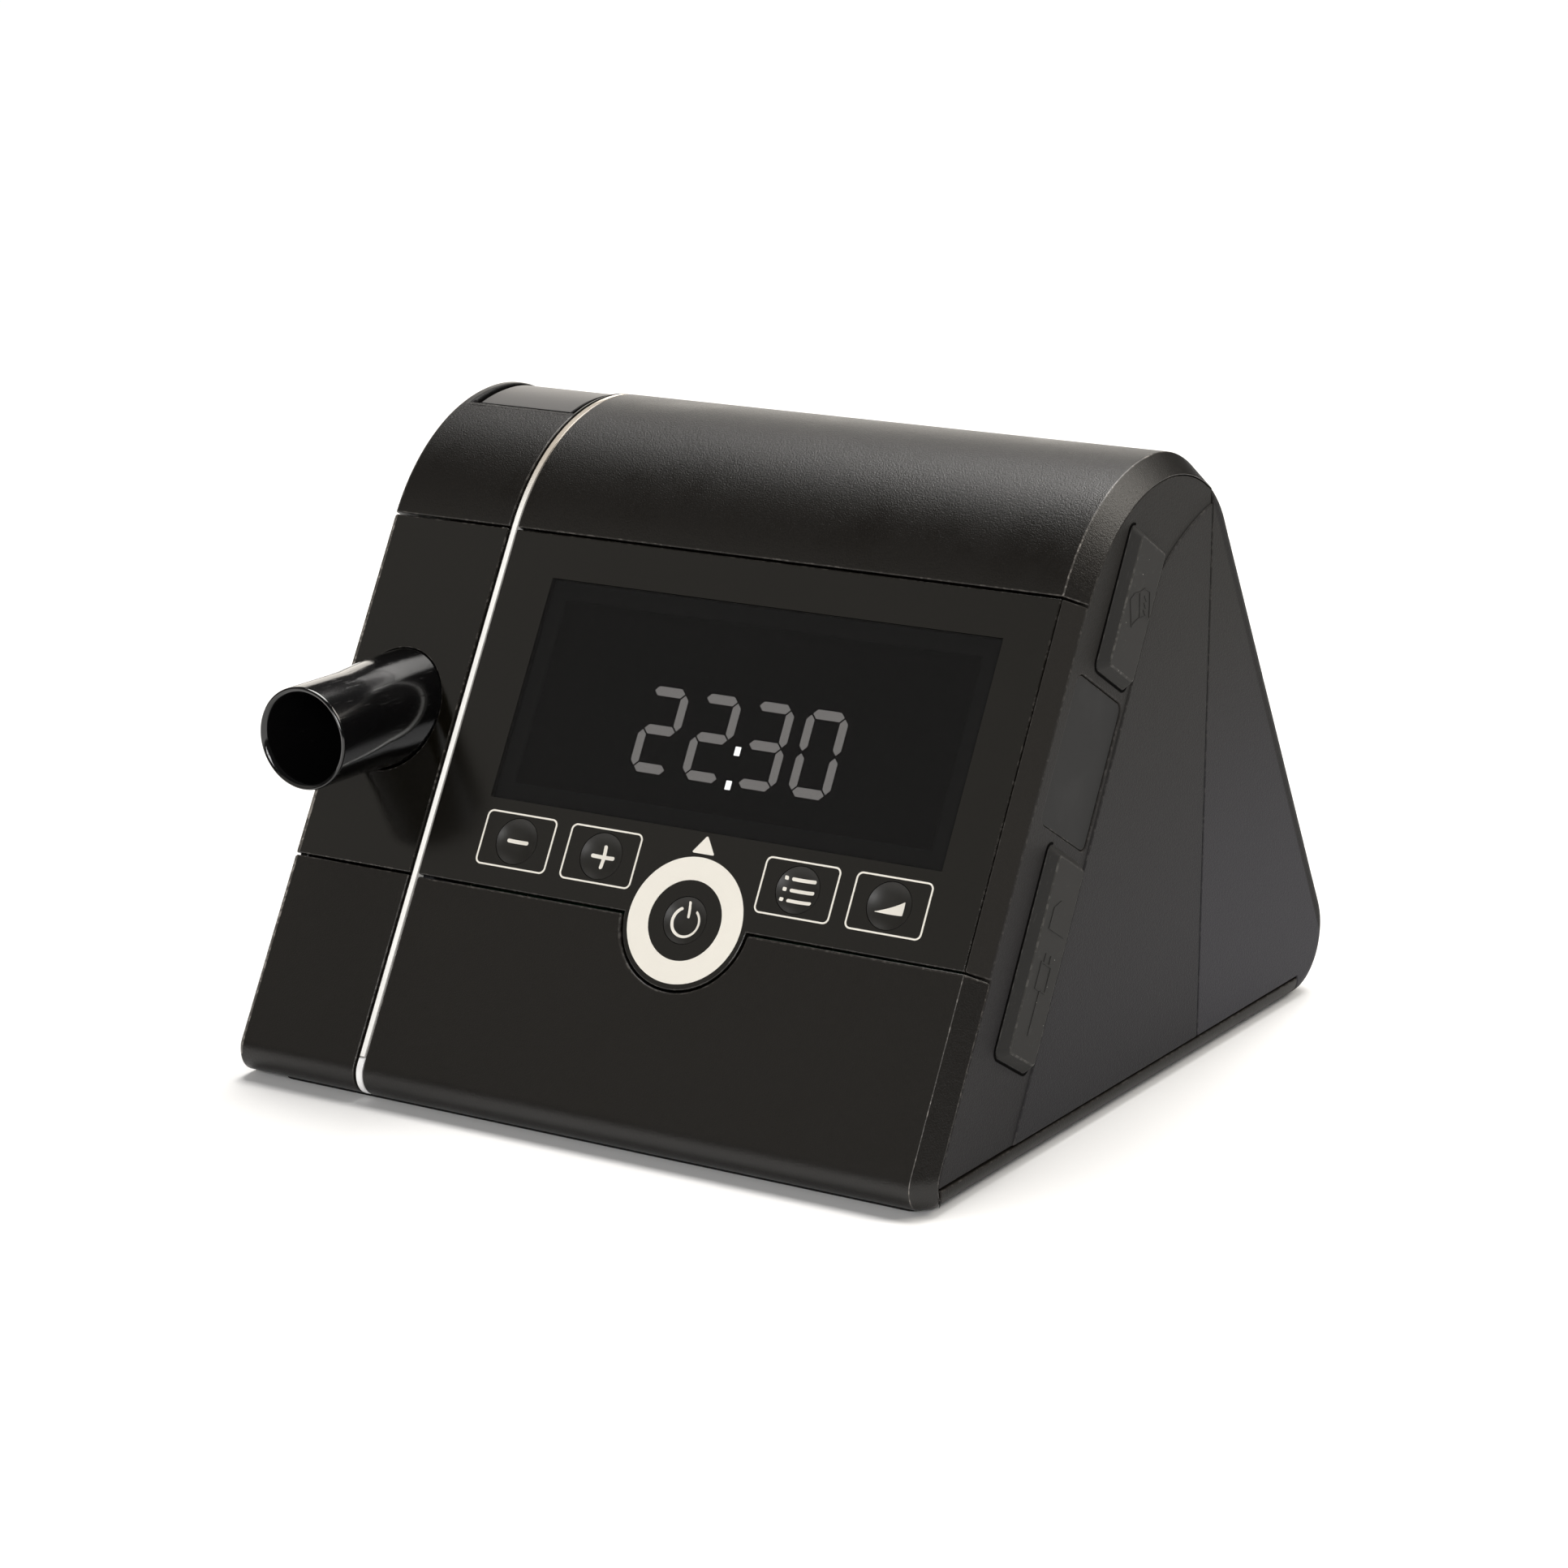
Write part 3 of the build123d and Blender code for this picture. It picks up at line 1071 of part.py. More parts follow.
with BuildPart() as volute_upper:
    with BuildSketch(Plane.XY.offset(STUB_Z)):
        add(volute_plan(VOLUTE_WALL))
    extrude(amount=VOLUTE_Z1 - STUB_Z)
    with BuildSketch(Plane.XY.offset(STUB_Z)):
        add(volute_plan(0))
    extrude(amount=VOLUTE_Z1 - VOLUTE_WALL - STUB_Z, mode=Mode.SUBTRACT)
    with BuildSketch(Plane.XY.offset(LOW_BEARING_Z - SEAT_LIP)):
        with Locations(BLOWER):
            Circle(BEARING_R + SEAT_WALL)
    extrude(amount=BEARING_T + SEAT_LIP)
    with BuildSketch(Plane.XY.offset(VOLUTE_Z1)):
        with Locations(BLOWER):
            Circle(BEARING_R)
    extrude(amount=-BEARING_T, mode=Mode.SUBTRACT)
    with BuildSketch(Plane.XY.offset(VOLUTE_Z1)):
        with Locations(BLOWER):
            Circle(SHAFT_R + ROTOR_GAP)
    extrude(amount=-(BEARING_T + SEAT_LIP), mode=Mode.SUBTRACT)
    with BuildSketch(side_plane(VOLUTE_END)):
        with Locations((PORT_Y, STUB_Z)):
            Circle(OUTLET_BORE)
    extrude(amount=2 * VOLUTE_WALL, mode=Mode.SUBTRACT)
volute_upper.part.label = "volute_upper"
export_step(volute_upper.part, "parts/volute_upper.step")

with BuildPart() as motor_housing:
    with BuildSketch(Plane.XY.offset(VOLUTE_Z1)):
        with Locations(BLOWER):
            Circle(MOTOR_R)
    extrude(amount=MOTOR_TOP - VOLUTE_Z1)
    with BuildSketch(Plane.XY.offset(VOLUTE_Z1)):
        with Locations(BLOWER):
            Circle(MOTOR_R - MOTOR_WALL)
    extrude(amount=MOTOR_TOP - VOLUTE_Z1 - MOTOR_WALL, mode=Mode.SUBTRACT)
    with BuildSketch(Plane.XY.offset(HIGH_BEARING_Z)):
        with Locations(BLOWER):
            Circle(BEARING_R + SEAT_WALL)
            Circle(BEARING_R, mode=Mode.SUBTRACT)
    extrude(amount=BEARING_T)
    chamfer(motor_housing.edges().group_by(Axis.Z)[-1], MOTOR_WALL / 2)
motor_housing.part.label = "motor_housing"
export_step(motor_housing.part, "parts/motor_housing.step")

with BuildPart() as bearings:
    with BuildSketch(Plane.XY.offset(LOW_BEARING_Z), Plane.XY.offset(HIGH_BEARING_Z)):
        with Locations(BLOWER):
            Circle(BEARING_R)
            Circle(SHAFT_R + SHAFT_GAP, mode=Mode.SUBTRACT)
    extrude(amount=BEARING_T)
bearings.part.label = "bearings"
export_step(bearings.part, "parts/bearings.step")

with BuildPart() as motor_shaft:
    with BuildSketch(Plane.XY.offset(HUB_Z0)):
        with Locations(BLOWER):
            Circle(SHAFT_R)
    extrude(amount=HIGH_BEARING_Z + BEARING_T - SHAFT_GAP - HUB_Z0)
motor_shaft.part.label = "motor_shaft"
export_step(motor_shaft.part, "parts/motor_shaft.step")

with BuildPart() as impeller:
    with BuildSketch(Plane.XY.offset(IMPELLER_Z)):
        with Locations(BLOWER):
            Circle(IMPELLER_R)
    extrude(amount=IMPELLER_T)
    with BuildSketch(Plane.XY.offset(IMPELLER_Z)):
        with Locations(BLOWER):
            with PolarLocations(BLADE_ROOT_R, BLADE_N):
                with Locations(Location((0, 0, 0), BLADE_SWEEP)):
                    Rectangle(BLADE_L, BLADE_T, align=(Align.MIN, Align.CENTER))
    extrude(amount=-BLADE_H)
    with BuildSketch(Plane.XY.offset(HUB_Z0)):
        with Locations(BLOWER):
            Circle(HUB_R)
    extrude(amount=HUB_Z1 - HUB_Z0)
    with BuildSketch(Plane.XY.offset(HUB_Z0)):
        with Locations(BLOWER):
            Circle(SHAFT_R)
    extrude(amount=HUB_Z1 - HUB_Z0, mode=Mode.SUBTRACT)
impeller.part.label = "impeller"
export_step(impeller.part, "parts/impeller.step")

with BuildPart() as motor_stator:
    with BuildSketch(Plane.XY.offset(VOLUTE_Z1)):
        with Locations(BLOWER):
            Circle(BEARING_R + SEAT_WALL / 2)
            Circle(SHAFT_R + ROTOR_GAP, mode=Mode.SUBTRACT)
    extrude(amount=STATOR_RISE + STATOR_H)
    with BuildSketch(Plane.XY.offset(STATOR_Z)):
        with Locations(BLOWER):
            Circle(STATOR_R)
            Circle(SHAFT_R + ROTOR_GAP, mode=Mode.SUBTRACT)
            with PolarLocations((STATOR_R + BEARING_R) / 2 + 1, STATOR_SLOTS):
                Circle(STATOR_SLOT_R, mode=Mode.SUBTRACT)
    extrude(amount=STATOR_H)
motor_stator.part.label = "motor_stator"
export_step(motor_stator.part, "parts/motor_stator.step")

with BuildPart() as motor_rotor:
    with BuildSketch(Plane.XY.offset(STATOR_Z)):
        with Locations(BLOWER):
            Circle(ROTOR_OUT)
    extrude(amount=ROTOR_TOP - STATOR_Z)
    with BuildSketch(Plane.XY.offset(STATOR_Z)):
        with Locations(BLOWER):
            Circle(ROTOR_IN)
    extrude(amount=STATOR_H + SEAT_LIP, mode=Mode.SUBTRACT)
    with BuildSketch(Plane.XY.offset(STATOR_Z)):
        with Locations(BLOWER):
            Circle(SHAFT_R)
    extrude(amount=ROTOR_TOP - STATOR_Z, mode=Mode.SUBTRACT)
motor_rotor.part.label = "motor_rotor"
export_step(motor_rotor.part, "parts/motor_rotor.step")

with BuildPart() as blower_mounts:
    with BuildSketch(Plane.XY.offset(BOX_Z1)):
        with Locations(BLOWER):
            with PolarLocations(MOUNT_RING_R, 4, start_angle=45):
                Circle(MOUNT_R)
    extrude(amount=VOLUTE_Z0 - BOX_Z1)
blower_mounts.part.label = "blower_mounts"
export_step(blower_mounts.part, "parts/blower_mounts.step")

with BuildPart() as flow_tube:
    with BuildSketch(side_plane(SEAL_END)):
        with Locations((PORT_Y, STUB_Z)):
            Circle(TUBE_R)
    extrude(amount=VOLUTE_END - SEAL_END)
    with BuildSketch(side_plane(SEAL_END)):
        with Locations((PORT_Y, STUB_Z)):
            Circle(SEAL_R)
    extrude(amount=SEAL_T)
    with BuildSketch(side_plane(SEAL_END)):
        with Locations((PORT_Y, STUB_Z)):
            Circle(OUTLET_BORE)
    extrude(amount=VOLUTE_END - SEAL_END, mode=Mode.SUBTRACT)
flow_tube.part.label = "flow_tube"
export_step(flow_tube.part, "parts/flow_tube.step")

with BuildPart() as pressure_sensor:
    with BuildSketch(Plane.XY.offset(STUB_Z + TUBE_R - SENSOR_RISE / 2)):
        with Locations((VOLUTE_END - SENSOR[0] / 2 - FIT_GAP, PORT_Y)):
            RectangleRounded(*SENSOR, 1)
    extrude(amount=SENSOR_RISE * 1.5)
    with BuildSketch(side_plane(SEAL_END)):
        with Locations((PORT_Y, STUB_Z)):
            Circle(TUBE_R)
    extrude(amount=VOLUTE_END - SEAL_END, mode=Mode.SUBTRACT)
pressure_sensor.part.label = "pressure_sensor"
export_step(pressure_sensor.part, "parts/pressure_sensor.step")

# ================================================================ muffler and chassis
BOX_MID = ((BOX_X0 + BOX_X1) / 2, (BOX_Y0 + BOX_Y1) / 2)
BOX_W = BOX_X1 - BOX_X0
BOX_D = BOX_Y1 - BOX_Y0

with BuildPart() as muffler_box:
    with BuildSketch(Plane.XY.offset(BOX_Z0)):
        with Locations(BOX_MID):
            RectangleRounded(BOX_W, BOX_D, BOX_R)
    extrude(amount=BOX_Z1 - BOX_Z0)
    with BuildSketch(Plane.XZ.offset(-(BOX_Y1 - BOX_WALL))):
        with Locations((BOX_NECK_X, BOX_NECK_Z)):
            Circle(BOX_NECK_R)
    extrude(amount=-(HEEL_Y - BOX_Y1))
    with BuildSketch(Plane.XY.offset(BOX_Z0 + BOX_WALL)):
        with Locations(BOX_MID):
            RectangleRounded(BOX_W - 2 * BOX_WALL, BOX_D - 2 * BOX_WALL, BOX_R - BOX_WALL)
    extrude(amount=BOX_Z1 - BOX_Z0 - 2 * BOX_WALL, mode=Mode.SUBTRACT)
    with BuildSketch(Plane.XZ.offset(-(BOX_Y1 - 2 * BOX_WALL))):
        with Locations((BOX_NECK_X, BOX_NECK_Z)):
            Circle(BOX_BORE)
    extrude(amount=-(HEEL_Y - BOX_Y1 + 2 * BOX_WALL), mode=Mode.SUBTRACT)
    with BuildSketch(Plane.XY.offset(BOX_Z1)):
        with Locations(BLOWER):
            Circle(EYE_R + NECK_WALL + NECK_GAP)
    extrude(amount=-BOX_WALL, mode=Mode.SUBTRACT)
    split(bisect_by=REAR.offset(-HOUSING_BACK), keep=Keep.BOTTOM)
muffler_box.part.label = "muffler_box"
export_step(muffler_box.part, "parts/muffler_box.step")

with BuildPart() as muffler_foam:
    with BuildSketch(Plane.XY.offset(BOX_Z0 + BOX_WALL + FOAM_GAP)):
        with Locations(BOX_MID):
            RectangleRounded(
                BOX_W - 2 * BOX_WALL - 2 * FOAM_GAP, BOX_D - 2 * BOX_WALL - 2 * FOAM_GAP,
                BOX_R - BOX_WALL)
    extrude(amount=FOAM_TOP - BOX_Z0 - BOX_WALL - FOAM_GAP)
muffler_foam.part.label = "muffler_foam"
export_step(muffler_foam.part, "parts/muffler_foam.step")

with BuildPart() as chassis:
    with BuildSketch(Plane.XY.offset(CHASSIS_Z)):
        with Locations(((CHASSIS_X0 + CHASSIS_X1) / 2, (CHASSIS_Y0 + CHASSIS_Y1) / 2)):
            RectangleRounded(CHASSIS_X1 - CHASSIS_X0, CHASSIS_Y1 - CHASSIS_Y0, BOARD_R)
    extrude(amount=CHASSIS_T)
    with BuildSketch(Plane.XY.offset(BOX_Z0)):
        with Locations(*SCREW_SPOTS):
            Circle(CHASSIS_BOSS)
    extrude(amount=CHASSIS_BOSS_H)
    with BuildSketch(Plane.XY.offset(BOX_Z0)):
        with Locations(*[(BOARD_X + BOARD_T / 2, y) for y in POST_Y]):
            Rectangle(POST_W, POST_L)
    extrude(amount=PAD_T + BOARD_INSET - BOX_Z0)
    with BuildSketch(Plane.XY.offset(CHASSIS_Z)):
        with Locations(*SCREW_SPOTS):
            Circle(SCREW_R + SCREW_HOLE)
    extrude(amount=CHASSIS_T + CHASSIS_BOSS_H, mode=Mode.SUBTRACT)
chassis.part.label = "chassis"
export_step(chassis.part, "parts/chassis.step")

with BuildPart() as case_screws:
    with BuildSketch(Plane.XY.offset(PAD_T + SCREW_HOLE)):
        with Locations(*SCREW_SPOTS):
            Circle(SCREW_HEAD)
    extrude(amount=SCREW_SINK - SCREW_HOLE)
    with BuildSketch(Plane.XY.offset(PAD_T + SCREW_SINK)):
        with Locations(*SCREW_SPOTS):
            Circle(SCREW_R)
    extrude(amount=WALL - SCREW_SINK + CHASSIS_T + CHASSIS_BOSS_H)
    with BuildSketch(Plane.XY.offset(PAD_T + SCREW_HOLE)):
        with Locations(*SCREW_SPOTS):
            RegularPolygon(SCREW_HEX, 6)
    extrude(amount=SCREW_SINK / 2, mode=Mode.SUBTRACT)
case_screws.part.label = "case_screws"
export_step(case_screws.part, "parts/case_screws.step")

# ================================================================ boards
BOARD_FACE = BOARD_X + BOARD_T

with BuildPart() as main_board:
    with BuildSketch(side_plane(BOARD_X)):
        add(outline(BOARD_INSET, BOARD_INSET, BOARD_INSET, BOARD_INSET, BOARD_R, BOARD_R))
    extrude(amount=BOARD_T)
main_board.part.label = "main_board"
export_step(main_board.part, "parts/main_board.step")

with BuildPart() as board_chips:
    with BuildSketch(side_plane(BOARD_X)):
        for across, up, long, high in CHIPS:
            with Locations((across, up)):
                Rectangle(long, high)
    extrude(amount=-CHIP_H)
board_chips.part.label = "board_chips"
export_step(board_chips.part, "parts/board_chips.step")

SOCKETS = {"card_socket": ("card", CARD_SOCKET, CARD_SLOT), "usb_socket": ("usb", USB_SOCKET, USB_SLOT)}
for name, (port, body, slot) in SOCKETS.items():
    low, high = PORTS[port]
    with BuildPart() as socket:
        with BuildSketch(SIDE.offset(BOARD_FACE - RIGHT_X)):
            with Locations(((low + high) / 2, -FLAP_MID)):
                Rectangle(*body)
        extrude(amount=SOCKET_H)
        with BuildSketch(SIDE.offset(BOARD_FACE - RIGHT_X + SOCKET_H)):
            with Locations(((low + high) / 2, -FLAP_MID)):
                Rectangle(*slot)
        extrude(amount=-SLOT_DEEP, mode=Mode.SUBTRACT)
    socket.part.label = name
    export_step(socket.part, "parts/" + name + ".step")

with BuildPart() as backup_cell:
    with BuildSketch(side_plane(BOARD_X)):
        with Locations((APEX_Y + CELL_AT[0], APEX_Z + CELL_AT[1])):
            Circle(CELL_R)
    extrude(amount=-CELL_T)
    chamfer(backup_cell.edges().group_by(Axis.X)[0], CELL_T / 8)
backup_cell.part.label = "backup_cell"
export_step(backup_cell.part, "parts/backup_cell.step")

# across the machine and back from the display board
RIBBON = Plane(
    origin=(0, *on_front(RIBBON_S, BOARD_DEPTH + BOARD_T)), x_dir=(1, 0, 0),
    z_dir=(0, cos(TH), sin(TH)))
with BuildPart() as ribbon_cable:
    with BuildSketch(RIBBON):
        with BuildLine():
            FilletPolyline((RIBBON_X, 0), (RIBBON_X, RIBBON_BACK), (BOARD_X, RIBBON_BACK), radius=RIBBON_R)
        trace(line_width=RIBBON_T)
    extrude(amount=RIBBON_W / 2, both=True)
ribbon_cable.part.label = "ribbon_cable"
export_step(ribbon_cable.part, "parts/ribbon_cable.step")
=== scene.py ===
import json
from math import cos, pi, radians, sin, sqrt

import bmesh
import bpy
from bpy.props import FloatProperty, FloatVectorProperty, PointerProperty
from bpy.types import Operator, Panel, PropertyGroup
from mathutils import Matrix, Vector

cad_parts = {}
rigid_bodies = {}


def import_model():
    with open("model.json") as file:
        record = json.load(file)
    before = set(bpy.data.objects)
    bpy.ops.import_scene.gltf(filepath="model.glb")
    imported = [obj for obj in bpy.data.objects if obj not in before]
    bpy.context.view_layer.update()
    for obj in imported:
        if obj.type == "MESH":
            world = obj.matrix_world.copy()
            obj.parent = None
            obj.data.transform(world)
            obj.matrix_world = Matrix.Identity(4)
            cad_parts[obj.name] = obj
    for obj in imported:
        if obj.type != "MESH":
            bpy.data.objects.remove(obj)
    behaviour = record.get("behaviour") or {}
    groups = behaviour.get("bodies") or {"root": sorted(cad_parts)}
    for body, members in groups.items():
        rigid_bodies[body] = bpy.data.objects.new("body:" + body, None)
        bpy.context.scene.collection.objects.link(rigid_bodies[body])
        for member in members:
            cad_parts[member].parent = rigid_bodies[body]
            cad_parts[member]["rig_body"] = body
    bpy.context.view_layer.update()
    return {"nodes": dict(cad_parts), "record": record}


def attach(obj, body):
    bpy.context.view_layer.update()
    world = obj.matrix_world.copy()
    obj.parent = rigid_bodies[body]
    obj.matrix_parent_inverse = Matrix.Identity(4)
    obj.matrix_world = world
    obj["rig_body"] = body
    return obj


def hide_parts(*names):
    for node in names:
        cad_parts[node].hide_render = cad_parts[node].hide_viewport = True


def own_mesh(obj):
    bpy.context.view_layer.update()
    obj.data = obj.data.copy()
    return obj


bl_info = {
    "name": "Bench-Top CPAP Machine",
    "version": (1, 0, 0),
    "blender": (4, 5, 0),
    "location": "3D View > Sidebar > CPAP",
    "description": "Dresses a CPAP machine with covers, keys, display, port flaps and blower parts",
    "category": "Object",
}

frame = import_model()
MM = 0.001

# lengths are in millimetres; the display front slopes back from the table
FRONT_SLOPE = radians(60.7)
FRONT_FOOT = Vector((0, -96.5, 0))
ACROSS = Vector((1, 0, 0))
UP = Vector((0, 0, 1))
FORWARD = Vector((0, -1, 0))
UP_FRONT = Vector((0, cos(FRONT_SLOPE), sin(FRONT_SLOPE)))
OUT_FRONT = Vector((0, -sin(FRONT_SLOPE), cos(FRONT_SLOPE)))
RIGHT_FACE = 84.0
CREASE = 79.9  # across, between the front faces and the right chamfer
PANEL_MID = 15.2  # across, of the window and the power key

WINDOW = (108.0, 48.4)
WINDOW_UP = 94.6  # its middle, up the front
WINDOW_REAR = -1.36  # out of the front, just behind the window
INK_INSET, INK_WIDTH, INK_RISE = 2, 3.9, 0.02  # of the dark line printed round the window
DISPLAY_FACE = -2.8  # out of the front, where the display shows its marks
BAR_SHARE = 0.965  # size of a clock bar against its cell, which leaves the dark slits
CLOCK = (16.2, 89.9)  # its middle, across and up the front
CLOCK_GROWS, CLOCK_MOVES = (1.025, 1.10), (-1.7, 0.5)
COLON = (16.7, 84.3)
COLON_HALF, COLON_REACH = 1.2, 6.5  # from its middle, across and to its ends
COLON_MOVES = (-1.8, 0.6)

KEY_SPOTS = {
    "minus": (-29.5, 61.7), "plus": (-8.4, 61.7), "power": (PANEL_MID, 51.6),
    "menu": (38.8, 61.7), "ramp": (59.9, 61.7),
}
DISH_R, DISH_D = 10.5, 1.2  # sphere that hollows each key, and how deep
KEY_R, COLLAR_R, STEM_R = 4.95, 6.05, 1.5
COLLAR_TOP, COLLAR_LOW, STEM_LOW = -2.45, -3.25, -4.9
PRINT = 0.03  # thickness of the icons' ink and of the unlit marks
POINTER = (PANEL_MID, 67.0)  # the small mark above the ring

STUB_SPOT = Vector((-69.7, 0, 74.6))
STUB_OUTLINE = [  # radius, and distance forward
    (9.5, 38.0), (9.5, 84.9), (9.62, 85.3), (9.95, 85.85), (10.35, 86.12), (10.6, 86.2), (10.82, 86.1),
    (10.96, 85.85), (11.0, 85.5), (11.0, 70.2), (11.35, 64.0), (11.9, 56.0), (11.9, 38.0), (9.5, 38.0)]

BAND_STEP = 0.3  # depth of the strip that carries the flaps, below the right face
SHADOW_LINE_INSET, SHADOW_LINE_R, SHADOW_LINE_WIDTH, SHADOW_LINE_RISE = 1.8, 2.05, 0.5, 0.05  # of the painted shadow line round a flap's corners: a near-black strip for the shade of the gap round the flap
SIGN_OUT, SIGN_RISE = 1.99, 0.14  # foot and height of the raised signs on the flaps

COILS, COIL_RING = 9, 8.6
COIL_SIZE = (3.0, 2.9, 9.4)
MOTOR_SPOT = Vector((4.0, 4.6, 93.9))

WHITE, WARM, FAINTLY_WARM = (1, 1, 1), (1, 0.95, 0.87), (1, 0.98, 0.955)
AIM = Vector((0, 0, 0.08))  # the lights point at this spot, in metres
LIGHTS = (  # place, width and height in metres, and colour
    ("front_light", (0.85, -1.75, 0.75), 0.9, 0.7, WHITE),
    ("back_light", (-1.05, 1.05, 0.43), 1.3, 0.55, WARM),
    ("left_light", (-0.88, -1.16, 0.96), 1.6, 0.92, WARM),
    ("right_light", (0.93, 0.66, 1.08), 0.7, 0.7, WARM))
TOP_LIGHT_FROM = Vector((-0.10, 0.40, 0.91))
CAMERA_SPOT = Vector((458.53, -762.13, 289.15))
CAMERA_TURN = (  # its right, up and back
    (0.85392748, 0.52037662, 0.00400349), (-0.13550177, 0.21491464, 0.96718714),
    (0.50244117, -0.82645016, 0.25403347))

# colours and places that the finishes share, places in metres
DUST = (0.32, 0.31, 0.29)
# painted shade: the dark outline along the rear cover's rounded edges
PAINTED_RIM_SHADE = (0.0024, 0.0018, 0.0014)
REAR_SEAM = 0.0256  # back, where the side panel meets the rear cover's wedge
REAR_OUT = (0.868, 0.497)  # back and up parts of the direction out of the rear slope


# ---- settings
def colour(name, description, default):
    """A colour that the user can set."""
    return FloatVectorProperty(
        name=name, description=description, subtype="COLOR", size=3, min=0, max=1, default=default)


def amount(name, description, default, least, most, subtype="NONE"):
    """A number that the user can set."""
    return FloatProperty(
        name=name, description=description, subtype=subtype, min=least, max=most, default=default)


class CaseLook(PropertyGroup):
    """Colours, grain and edges of the case"""
    case_colour: colour("Case", "Colour of the black covers", (0.0034, 0.0024, 0.0014))
    panel_colour: colour("Front panel", "Colour of the flat front panel", (0.0026, 0.0021, 0.0012))
    side_colour: colour("Right side", "Colour of the flat right side", (0.0140, 0.0135, 0.0150))
    print_colour: colour("Print", "Colour of the ring, frames and icons", (0.80, 0.765, 0.69))
    edge_width: amount(
        "Edge rounding", "Width of the softened cover edges, in millimetres", 0.3, 0.05, 1)
    grain_size: amount("Grain", "Size of the moulded grain, in millimetres", 0.42, 0.1, 2)
    # the wear amount also sets the painted highlights on the marked edges and, above zero, turns on the
    # painted shade of sunken edges
    wear: amount("Edge wear", "How much of the edges is rubbed pale", 0.35, 0, 1, "FACTOR")


class DisplayLook(PropertyGroup):
    """The clock behind its window"""
    digit_colour: colour("Digits", "Colour of the clock's bars", (0.70, 0.67, 0.65))
    digit_glow: amount("Digit glow", "Strength of the clock's own light", 1.22, 0, 20)
    colon_glow: amount("Colon glow", "Strength of the two lit dots", 8.0, 0, 40)
    tint: amount("Window tint", "How much the window hides what is behind it", 0.60, 0, 1, "FACTOR")


class StageLook(PropertyGroup):
    """Floor, lights and lens"""
    floor_colour: colour("Floor", "Colour of the floor", (0.93, 0.93, 0.93))
    fill: amount("Fill light", "Strength of the even light from all round", 0.06, 0, 4)
    front_light: amount(
        "Front light", "Power of the soft box beside the camera", 22, 0, 500, "POWER")
    back_light: amount(
        "Back light", "Power of the screen behind on the left", 4.3, 0, 500, "POWER")
    left_light: amount(
        "Left light", "Power of the dim screen in front on the left", 2.35, 0, 500, "POWER")
    right_light: amount(
        "Right light", "Power of the small box above the right side", 10.2, 0, 500, "POWER")
    top_light: amount(
        "Top light", "Strength of the broad light from above and behind", 3.7, 0, 20)
    lens: amount("Lens", "Focal length of the camera, in millimetres", 97.16, 10, 500)


# ---- shader helpers
class Wire:
    """One output socket of a shader node, which takes part in sums like a number."""

    def __init__(self, tree, socket):
        self.tree = tree
        self.socket = socket

    def math(self, operation, *values):
        node = self.tree.nodes.new("ShaderNodeMath")
        node.operation = operation
        for socket, value in zip(node.inputs, values):
            if isinstance(value, Wire):
                self.tree.links.new(value.socket, socket)
            else:
                socket.default_value = value
        return Wire(self.tree, node.outputs[0])

    def __add__(self, other):
        return self.math("ADD", self, other)

    def __sub__(self, other):
        return self.math("SUBTRACT", self, other)

    def __rsub__(self, other):
        return self.math("SUBTRACT", other, self)

    def __mul__(self, other):
        return self.math("MULTIPLY", self, other)

    def __gt__(self, other):
        return self.math("GREATER_THAN", self, other)

    def __lt__(self, other):
        return self.math("LESS_THAN", self, other)

    __radd__ = __add__
    __rmul__ = __mul__


